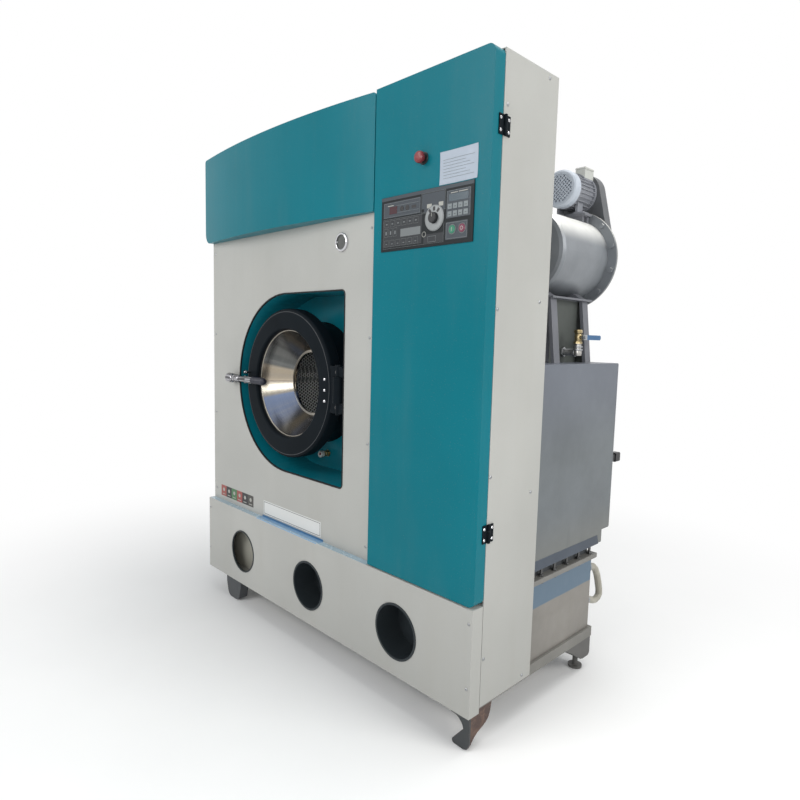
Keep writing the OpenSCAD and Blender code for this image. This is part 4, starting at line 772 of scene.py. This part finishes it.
for along, up in ((1488, 371), (1488, 185), (10, 187), (12, 371)):
    screw_head(spot(along, 0, up), FRONT)
piece("plinth_screws", "zinc")

rear_edge = ((250, 134), (250, 700), (250, 1250))
for back, up in ((248, 1855), (62, 1735), (54, 1220), (54, 772), (56, 257)) + rear_edge:
    screw_head(spot(right_face, back, up), RIGHT, 5.2)
for back, up in ((62, 1220), (62, 772)) + rear_edge:
    screw_head(spot(0, back, up), LEFT, 5.2)
piece("side_panel_screws", "zinc")

# %% Hinge screws
hinge_face = 1503
for name, back, body in (("cabinet_hinge_screws", 67, "machine"), ("door_hinge_screws", 33, "column_door")):
    for middle in (617, 1681):
        for up in (middle - 15, middle + 15):
            screw_head(spot(hinge_face, back, up), RIGHT, 4.2, 1.8)
    piece(name, "chrome", body)

# %% [markdown]
# ## The opening and the loading door
# A dark rubber strip covers the cut edge of the D-shaped opening. Its outline is a half circle with two
# rounded corners, and its section is a small angle that laps over the panel and into the opening.

# %% Edge strip of the D opening
opening_radius, opening_reach, corner_radius = 333, 345, 15


def opening_outline(outwards):
    """Points round the opening, moved outwards by some millimetres."""
    corner_along = drum_along + opening_reach - corner_radius
    rise = opening_radius - corner_radius
    arcs = ((drum_along, drum_up, opening_radius, 90, 270, 90),
            (corner_along, drum_up - rise, corner_radius, 270, 360, 6),
            (corner_along, drum_up + rise, corner_radius, 0, 90, 6))
    points = []
    for along, up, radius, first, last, steps in arcs:
        for number in range(steps + 1):
            angle = math.radians(first + (last - first) * number / steps)
            reach = radius + outwards
            points.append((along + reach * math.cos(angle), up + reach * math.sin(angle)))
    return points


strip_section = ((3.2, 26.95), (3.2, 25.8), (2.4, 25.2), (-1.0, 25.2), (-1.8, 26.0), (-1.8, 31.0),
                 (-0.1, 31.0), (-0.1, 26.95))
loops = [[form.verts.new(spot(along, back, up)) for along, up in opening_outline(outwards)]
         for outwards, back in strip_section]
for loop, following in zip(loops, loops[1:] + loops[:1]):
    for number in range(len(loop)):
        ahead = (number + 1) % len(loop)
        form.faces.new((loop[number], loop[ahead], following[ahead], following[number]))
piece("opening_strip", "black_rubber")

# %% Screws of the door ring and bolts of its hinge
screws_along, bolts_along = 797, 866
for up in (990, 952, 914):
    turned([(0, 3.6), (2.6, 3.4), (4.6, 2.2), (5.6, 0), (0, 0)],
           spot(screws_along, front_face, up), FRONT, 18)
piece("ring_screws", "chrome", "loading_door")
for up in (1019, 899):
    turned([(0, 1.4), (2.6, 1.4), (2.9, 4.2), (5.4, 4.2), (6, 3.6), (6, 0), (0, 0)],
           spot(bolts_along, front_face, up), FRONT, 18)
piece("hinge_block_bolts", "dark_zinc", "loading_door")

# %% [markdown]
# The mouth of the steel cone ends in a rolled bead, and the glass sits behind a second one. Both catch
# the light as thin bright rings. A bead is a small circle spun round the drum's axis.

# %% Beads of the cone


def bead(radius, back, thickness):
    """A round bead about the drum's axis."""
    middle = spot(drum_along, back, drum_up)
    place = Matrix.Translation(middle + Vector((radius / 1000, 0, 0)))
    section = bmesh.ops.create_circle(form, cap_ends=False, segments=10, radius=thickness / 1000,
                                      matrix=place)["verts"]
    bmesh.ops.spin(form, geom=section + edges_of(section), cent=middle, axis=BACK, angle=math.tau,
                   steps=96, use_merge=True)


mouth_radius, cone_end_radius, ring_edge = 203, 126, 267.2
bead(mouth_radius - 3.5, 46.5, 2.6)
bead(cone_end_radius - 2.5, 150.5, 2.6)
piece("cone_beads", "bezel_steel", "loading_door")
turned(band(118, 127, 0, 3), spot(drum_along, 147, drum_up), BACK, 96)
piece("glass_bezel", "bezel_steel", "loading_door")
# A thin pale ring where the door ring's rounded edge begins is a painted highlight.
turned([(265.8, 0), (ring_edge, 0.4), (268.4, 0), (ring_edge, -0.4), (265.8, 0)],
       spot(drum_along, 27.1, drum_up), FRONT, 128)
piece("ring_glint", "worn_edge", "loading_door")
bead(mouth_radius + 1.2, 41.5, 2.0)
piece("mouth_seal", "black_rubber", "loading_door")

# %% [markdown]
# The clamp's bar is dressed as on the machine: a fluted collar and an eight-sided knob at its left end,
# and a ribbed dark grip with a round nose at its right end. They are sleeves round the solid bar, kept
# clear of the stud that stops the clamp, which gets a chrome cap.

# %% Clamp
spindle_along, bar_back, rib_pitch, knob_reach, knob_length = 299, 5, 8, 128.3, 30


def on_bar(along):
    """A place on the bar, measured from the spindle."""
    return spot(spindle_along + along, bar_back, drum_up)


turned([(11, 0), (15.5, 0.6), (15.5, 8), (13, 9), (13, 11), (15.5, 12), (15.5, 20), (13, 24), (11, 25)],
       on_bar(-62), RIGHT, 32)
turned([(11, 0), (14.5, 0.8), (14.5, 38), (13, 40), (8, 40.2)], on_bar(22), RIGHT, 32)
piece("clamp_collars", "clamp_chrome", "clamp_handle")
ribs = [(8, 0)]
for number in range(9):
    ribs += [(radius, number * rib_pitch + rise)
             for radius, rise in ((12.6, 0.4), (14.6, 1.6), (14.6, 5.6), (12.6, 7.0))]
ribs += [(14.2, 73), (14.4, 77), (13, 82), (10, 86.5), (5, 89), (0, 89.6)]
turned(ribs, on_bar(60), RIGHT, 32)
piece("clamp_grip", "grip_plastic", "clamp_handle")
hexagon(on_bar(-knob_reach), RIGHT, 20.5, knob_length, chamfer=2.4, sides=8)
turned([(12, 0), (17.5, 0.8), (18.5, 4), (17.5, 8), (14.5, 10), (14.5, 22), (16.5, 24), (16.5, 34),
        (12, 35)], on_bar(knob_length + 0.5 - knob_reach), RIGHT, 32)
piece("knob_flutes", "clamp_chrome", "clamp_knob")
turned([(0, -4), (2.5, -3.6), (5.2, -1.8), (6.8, 1.0), (7.2, 4.0), (6.6, 7.0), (5.2, 9.4), (5.2, 22),
        (0, 22)], spot(spindle_along + 4, 4, drum_up + 30), BACK, 28)
piece("stop_cap", "chrome", "loading_door")

# %% [markdown]
# The red mushroom button is smaller than its solid, so this piece takes its place, with the same stem.

# %% Mushroom button
mushroom = spot(1266, 0, 1634)
turned([(0, -24), (6, -23.8), (12, -22.4), (15.4, -19), (16.4, -15), (16.4, -11.5), (14.5, -9), (9, -8),
        (8, -7.5), (8, 28), (0, 28)], mushroom, BACK, 48)
button = piece("mushroom_button", "red_plastic", "emergency_button")
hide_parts("emergency_button")

# %% Small drain fitting at the back of the recess
fitting = spot(606, 195, 683)
turned([(0, 0), (13, 0), (13, 3), (8, 3), (8, 34), (0, 34)], fitting, FRONT, 20)
hexagon(fitting + Vector((0, -0.008, 0)), FRONT, 12, 9)
piece("recess_fitting", "bright_brass")
turned([(0, 0), (11, 0), (13, 1.5), (13, 15), (11, 17), (0, 17)], fitting + Vector((0, -0.026, 0)),
       FRONT, 20)
piece("fitting_cap", "cream_box")
turned([(0, 0), (4.5, 0), (4.5, 4), (3, 6), (0, 6)], fitting + Vector((0.006, -0.043, 0.002)), FRONT, 14)
piece("fitting_pin", "red_plastic")

# %% [markdown]
# ## Plates, stickers and film
# A white plate with a thin black border sits low on the front, beside a strip of six coloured squares.
# Both are left without words. They are thin slabs, a third of a millimetre or more proud of the paint.

# %% Printed finishes and film
batch(plastic,
      ("plate_white", (0.62, 0.63, 0.62), 0.35, 600.0, 0.03, 0.1, 0.04),
      ("print_black", (0.020, 0.020, 0.022), 0.40, 600.0, 0.03, 0.0, 0.04),
      ("print_grey", (0.060, 0.056, 0.050), 0.45, 600.0, 0.03, 0.0, 0.04),
      ("print_red", (0.280, 0.070, 0.060), 0.45, 600.0, 0.03, 0.0, 0.1),
      ("print_green", (0.060, 0.160, 0.070), 0.45, 600.0, 0.03, 0.0, 0.1),
      ("print_pale", (0.36, 0.36, 0.33), 0.45, 600.0, 0.03, 0.0, 0.04),
      ("film_blue", (0.210, 0.370, 0.560), 0.22, 60.0, 0.25, 0.4, 0.2),
      ("film_pale", (0.360, 0.480, 0.560), 0.25, 60.0, 0.25, 0.4, 0.25),
      ("film_edge", (0.050, 0.150, 0.290), 0.3, 60.0, 0.2, 0.2, 0.1))

# %% Name plate without a name, and the coloured strip
plate_left, plate_right, plate_low, plate_high, margin = 407, 786, 424, 480, 4
slab((plate_left, plate_right), (front_face - 0.7, front_face), (plate_low, plate_high), 0.3, 1)
piece("bare_plate", "plate_white")
outline((plate_left + margin, plate_right - margin), (front_face - 0.9, front_face - 0.6),
        (plate_low + margin, plate_high - margin), 1.6)
piece("plate_border", "print_black")

strip_start, strip_low, strip_high, square, square_gap = 60, 431, 478, 44.8, 0.6
squares = (("print_red", "red_plastic"), ("print_black", "black_plastic"), ("print_green", "green_plastic"),
           ("print_red", "red_plastic"), ("print_black", "black_plastic"), ("print_grey", "black_plastic"))
for number, (finish, slot) in enumerate(squares):
    left = strip_start + number * square
    slab((left, left + square - square_gap), (front_face - 0.35, front_face), (strip_low, strip_high))
    piece(f"strip_square_{number + 1}", finish)
for number in range(len(squares)):
    middle = strip_start + (number + 0.5) * square
    turned(rod(8, 0.6, 0), spot(middle, front_face, 459), FRONT, 20)
    slab((middle - 12, middle + 12), (front_face - 0.6, front_face), (438, 441.5))
piece("strip_marks", "print_pale")

# %% [markdown]
# Blue protective film was left on the ledge above the plinth. It is thin, so it is a slab with hardly
# any thickness, and below the white plate a wider scrap of it laps over the edge.

# %% Film on the ledge
ledge = 412
slab((6, 1060), (0.5, front_face - 0.5), (ledge, ledge + 0.4))
piece("ledge_film", "film_pale")
slab((392, 802), (6, front_face - 1), (ledge + 0.2, ledge + 0.9), 0.3, 1)
slab((398, 796), (-0.5, 0), (ledge - 3, ledge + 0.5))
piece("film_scrap", "film_blue")
slab((400, 800), (front_face - 1.2, front_face), (ledge + 0.5, ledge + 8))
piece("film_fold", "film_edge")

# %% [markdown]
# ## Control panel
# The printed film of the panel is laid out in fields: a display group at the left, the dial in the
# middle, a second display with eight keys at the right, and the two buttons in a box of their own. The
# fields are thin slabs, the lines are outlines, and the keys are slabs with rounded edges. All of it
# rides on the column door, or on the button or dial that it marks.

# %% Panel finishes
batch(plastic,
      ("field_slate", (0.052, 0.062, 0.074), 0.34, 800.0, 0.04, 0.0, 0.05, 0.25),
      ("field_dim", (0.030, 0.033, 0.037), 0.36, 800.0, 0.04, 0.0, 0.05, 0.25),
      ("line_grey", (0.15, 0.165, 0.17), 0.4, 600.0, 0.03, 0.0, 0.05),
      ("key_grey", (0.19, 0.215, 0.225), 0.42, 500.0, 0.08, 0.0, 0.1),
      ("display_red", (0.050, 0.014, 0.020), 0.2, 60.0, 0.02, 0.1, 0.02),
      ("display_grey", (0.070, 0.095, 0.115), 0.2, 60.0, 0.02, 0.1, 0.02),
      ("paper_white", (0.40, 0.45, 0.52), 0.75, 250.0, 0.1, 0.0, 0.12))
panel_face = 1.0


def proud(front, rear=0.0):
    """How a layer of the panel reaches from front to rear, in millimetres before the panel's face."""
    return panel_face - front, panel_face - rear


def slabs(reach, rows, *rounding):
    """Several slabs of one layer: a row holds left, right, low and high."""
    for left, right, low, high in rows:
        slab((left, right), reach, (low, high), *rounding)


def on_panel(name, finish):
    piece(name, finish, "column_door")


# %% Fields of the panel
slabs(proud(0.25), ((1110, 1261, 1488, 1532), (1358, 1441, 1460, 1532), (1357, 1433, 1404, 1450),
                    (1266, 1352, 1496, 1536), (1276, 1352, 1486, 1496), (1101.5, 1450.5, 1538, 1547.5)))
on_panel("panel_fields", "field_slate")
slabs(proud(0.25), ((1110, 1268, 1404, 1484), (1276, 1350, 1402, 1426)))
on_panel("panel_dim_fields", "field_dim")

# %% Lines of the panel
line_back = proud(0.45, 0.2)
for left, right, low, high, line in (
        (1112, 1259, 1490, 1530, 0.7), (1360, 1439, 1462, 1531, 0.7), (1359, 1431, 1406, 1448, 0.9),
        (1110, 1350, 1400, 1484, 0.6), (1292, 1322, 1404, 1420, 0.9), (1264, 1354, 1486, 1538, 0.6)):
    outline((left, right), line_back, (low, high), line)
slabs(line_back, ((1164, 1254, 1499.6, 1500.4), (1164, 1254, 1519.6, 1520.4)))
signs_left, sign_line = 1115, 0.5
for count, pitch, width, up, mark, mark_up in (
        (6, 24, 19, (1462, 1480), (6, 13), (1469, 1472)), (3, 19, 15, (1434, 1458), (5, 10), (1440, 1450)),
        (6, 24, 19, (1406, 1424), (6, 13), (1412, 1414))):
    for number in range(count):
        left = signs_left + number * pitch
        outline((left, left + width), line_back, up, sign_line)
        slab((left + mark[0], left + mark[1]), line_back, mark_up)
on_panel("panel_lines", "line_grey")

# %% Pale marks, the grey strip and the keys
slabs(line_back, ((1128, 1152, 1521, 1523.5), (1372, 1396, 1524, 1526), (1400, 1430, 1524.5, 1526.5)))
slabs(proud(0.6, 0.2), ((1286, 1304, 1496, 1507), (1330, 1346, 1497, 1508)), 0.2, 1)
turned(band(6.2, 7.6, 0.4, 0.2), spot(1277, panel_face, 1427), FRONT, 20)
on_panel("panel_marks", "print_pale")

slab((1183, 1263), proud(0.5), (1430, 1452), 0.2, 1)
on_panel("panel_strip", "line_grey")

keys_left, keys_low, key_step, row_step = 1363, 1464, 18.4, 19.5
key_width, key_height, mark_inset = 15, 14, 4.5
key_corners = [(keys_left + column * key_step, keys_low + row * row_step)
               for row in range(2) for column in range(4)]
for left, low in key_corners:
    slab((left, left + key_width), proud(1.6), (low, low + key_height), 0.8)
on_panel("panel_keys", "key_grey")
for left, low in key_corners:
    slab((left + mark_inset, left + key_width - mark_inset), proud(1.8, 1.5), (low + 5, low + 6.2))
on_panel("key_marks", "field_dim")

# %% Displays and indicator wells
slab((1135, 1167), proud(0.9), (1498, 1519), 0.3, 1)
on_panel("red_display", "display_red")
slab((1366, 1433), proud(0.9), (1503, 1522), 0.3, 1)
on_panel("grey_display", "display_grey")
for along in (1187, 1209):
    turned([(0, 0.5), (5.5, 0.5), (6.0, 0.9), (7.2, 0.9), (7.4, 0), (0, 0)], spot(along, panel_face, 1509),
           FRONT, 20)
slab((1226, 1244), proud(0.6), (1505, 1513), 0.3, 1)
on_panel("indicator_wells", "print_black")

# %% Rings and signs of the two buttons, and the dial's hub
start_along, stop_along, buttons_up = 1380.5, 1415, 1430
for along in (start_along, stop_along):
    turned([(11.6, 1.6), (12.9, 1.6), (13.4, 1.0), (13.4, 0), (11.6, 0), (11.6, 1.6)],
           spot(along, panel_face, buttons_up), FRONT, 32)
on_panel("button_rings", "line_grey")
slab((start_along - 0.9, start_along + 0.9), (-2.3, -1.9), (buttons_up - 5, buttons_up + 5))
piece("start_sign", "print_pale", "start_button")
turned(band(3.6, 5.0, 3.3, 2.9), spot(stop_along, panel_face, buttons_up), FRONT, 28)
piece("stop_sign", "print_pale", "stop_button")

dial = spot(1316, panel_face, 1467)
turned([(0, 13.2), (11.5, 13.2), (14, 12.2), (14.8, 9.5), (15.6, 3.7), (0, 3.7)], dial, FRONT, 40)
piece("dial_hub", "black_plastic", "program_dial")
for tilt in (-38, 0, 38):
    around = Matrix.Translation(dial) @ Matrix.Rotation(math.radians(tilt), 4, "Y")
    tick = Matrix.Translation((0, -0.0038, 0.0245)) @ Matrix.Diagonal((0.0072, 0.0006, 0.011, 1))
    bmesh.ops.create_cube(form, size=1.0, matrix=around @ tick)
piece("dial_ticks", "print_black", "program_dial")
slab((1315.2, 1316.8), (-12.6, -12.1), (1469, 1479))
piece("dial_pointer", "print_pale", "program_dial")

# %% [markdown]
# A sheet of paper is taped above the panel. It carries plain lines in place of words, and it curls a
# little at its free corners, so it is a fine grid whose points are lifted near the corners before it
# gets a thickness.

# %% Sheet of paper above the panel
paper_width, paper_height, paper_curl = 0.130, 0.086, 0.0035
paper_middle = spot(1393, 3.6, 1594)
upright = Matrix.Translation(paper_middle) @ Matrix.Rotation(math.radians(90), 4, "X")
bmesh.ops.create_grid(form, x_segments=16, y_segments=12, size=0.5,
                      matrix=upright @ Matrix.Diagonal((paper_width, paper_height, 1, 1)))
for point in form.verts:
    aside, rise = abs(point.co.x - paper_middle.x), abs(point.co.z - paper_middle.z)
    near_corner = aside / (paper_width / 2) * rise / (paper_height / 2)
    point.co.y -= paper_curl * max(0.0, near_corner - 0.35) ** 2
bmesh.ops.solidify(form, geom=form.faces[:], thickness=0.0002)
on_panel("paper_sheet", "paper_white")
rules_left, rules_right, first_rule, rule_pitch = 1340, 1446, 1566, 8
for number in range(7):
    up = first_rule + number * rule_pitch
    slab((rules_left, rules_right - (number % 3) * 14), (2.9, 3.3), (up, up + 0.8))
on_panel("paper_rules", "key_grey")

# %% [markdown]
# ## The rear
# Behind the column, studs with nuts join the still's two flanges, clips hold the drain hose, and pipe
# nuts and threads sit round the valve. They follow the places of the studs, the hose and the valve.
# The joint between the still and its tank sits higher than its solid: a bolted flange on the tank, a
# dark neck with studs, and a sloping angle under the still's skirt. These pieces take its place.

# %% Tank, flanges and angle
tank_front, tank_rear, flange_rear = 299, 669, 690
tank_left, tank_right, flange_left, flange_right = 1127, 1489, 1117, 1498
tank_low, flange_low, flange_top, angle_low, angle_top = 146, 395, 411, 443, 474
slab((tank_left, tank_right), (tank_front, tank_rear), (tank_low, flange_low), 1.5)
tank = piece("still_tank", "tank_paint")
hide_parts("flange_joint")
slab((flange_left, flange_right), (tank_front, flange_rear), (flange_low, flange_top), 1.2)
piece("lower_flange", "flange_paint")
slab((flange_left + 24, flange_right - 26), (tank_front + 2, flange_rear - 24),
     (flange_top - 1, angle_low + 1))
piece("flange_neck", "frame_paint")
slab((flange_left, flange_right), (tank_front, flange_rear + 4), (angle_low, angle_top))
middle = spot(1300, 500, (angle_low + angle_top) / 2)
for point in form.verts:
    if point.co.z > middle.z:
        point.co.x += 0.006 if point.co.x < middle.x else -0.0025
        point.co.y -= 0.006 if point.co.y > middle.y else 0
piece("still_angle", "angle_paint")

# %% Studs and nuts of the flange joint
studs_along, first_back, side_pitch, first_along, rear_pitch = 1484, 357, 75.5, 1156, 66


def stud(along, back, twist):
    """A stud with a nut on the lower flange."""
    place = spot(along, back, flange_top)
    turned(rod(4.5, 0, 32), place, UP, 16)
    hexagon(place, UP, 9, 7, twist=twist)


for number in range(5):
    back = first_back + number * side_pitch
    stud(studs_along, back, number * 0.4)
    hexagon(spot(studs_along, back, flange_low), DOWN, 9, 6.5, twist=number * 0.7)
for number in range(5):
    stud(first_along + number * rear_pitch, flange_rear - 12, number * 0.5)
piece("flange_studs", "dark_zinc")

# %% Clips and nuts of the drain hose
hose_along, hose_ends = 1473, (355, 237)
for up in hose_ends:
    turned([(12.1, 0), (14.2, 0), (14.6, 1), (14.6, 9), (14.2, 10), (12.1, 10), (12.1, 0)],
           spot(hose_along, tank_rear + 4, up), BACK, 28)
    hexagon(spot(hose_along, tank_rear + 9, up + 14), RIGHT, 4.5, 9)
piece("hose_clips", "zinc")
for up in hose_ends:
    hexagon(spot(hose_along, tank_rear - 0.5, up), BACK, 17, 5)
piece("hose_nuts", "casting_paint")

# %% Nuts and threads of the valve
valve_along, valve_up, pipe_up, thread_start, thread_pitch = 1444, 1156, 1106, -48, 4.5


def by_valve(up, aside=0.0):
    """A place in the valve's plane, with its height and how far it is to the right of the valve."""
    return spot(valve_along + aside, 575, up)


for up, radius in ((1112, 15.5), (1122, 14.8)):
    turned([(10, 0), (radius, 0), (radius + 0.8, 1), (radius + 0.8, 5), (radius, 6), (10, 6), (10, 0)],
           by_valve(up), UP, 24)
for number in range(7):
    turned([(9.8, 0), (11.6, 1.1), (9.8, 2.2), (9.8, 0)],
           by_valve(pipe_up, thread_start + number * thread_pitch), RIGHT, 24)
for aside, up, radius, height in ((-55, pipe_up, 17, 7), (-15, pipe_up, 15, 8), (16, valve_up, 9, 5),
                                  (24.2, valve_up, 6, 4)):
    hexagon(by_valve(up, aside), RIGHT, radius, height)
piece("pipe_nuts", "zinc")
turned([(0, 1094), (13, 1096), (14, 1104), (13.5, 1117), (11.5, 1118), (11.5, 1133), (12.5, 1134),
        (12.5, 1141), (10.5, 1146), (11.5, 1152), (11.5, 1161), (10.5, 1166), (12.5, 1170), (12.5, 1180),
        (10, 1181), (0, 1181)], by_valve(0), UP, 32)
hexagon(by_valve(1134), UP, 14.5, 8)
hexagon(by_valve(1170), UP, 14.5, 9, twist=0.3)
turned(rod(10, 0, 56), by_valve(pipe_up, -56), RIGHT, 28)
turned([(5.5, 0), (7.5, 0), (7.5, 11), (6.5, 12.4), (5.5, 12.4)], by_valve(valve_up, 3), RIGHT, 24)
valve = piece("small_valve", "valve_brass")
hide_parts("ball_valve")

# %% A dark plate between the rear legs of the blower's stand, a painted shade
shade_plate_corners = ((-112, 1071), (112, 1071), (89, stand_top), (-89, stand_top))
front_loop, rear_loop = ([form.verts.new(spot(blower_along + aside, back, up)) for aside, up in shade_plate_corners]
                         for back in (688, 690))
form.faces.new(front_loop)
form.faces.new(rear_loop[::-1])
for number in range(4):
    ahead = (number + 1) % 4
    form.faces.new((front_loop[ahead], front_loop[number], rear_loop[number], rear_loop[ahead]))
piece("stand_shade_plate", "web_paint")

# %% Gasket of the blower, and the screws of its guard
blower_up, cover_joint, guard_face = 1430, 751, 823.6
turned(band(160, 171.6, -1.0, 1.0), spot(blower_along, cover_joint, blower_up), BACK, 96)
piece("blower_gasket", "print_pale")
for up, radius, angles in ((blower_up, 116, (-40, -90, -140)), (motor_up, 63, (20, 90, 160))):
    for angle in angles:
        aside, rise = radius * math.cos(math.radians(angle)), radius * math.sin(math.radians(angle))
        screw_head(spot(blower_along + aside, guard_face, up + rise), BACK, 4.5, 1.4)
piece("guard_screws", "zinc")

# %% Junction box of the blower motor
lid_low, lid_high = 1741, 1748
slab((1315.5, 1354.5), (719.5, 782.5), (lid_low, lid_high), 2.0)
for along in (1320, 1350):
    for back in (725, 777):
        screw_head(spot(along, back, lid_high), UP, 3.2, 1.6)
piece("junction_lid", "cream_box")
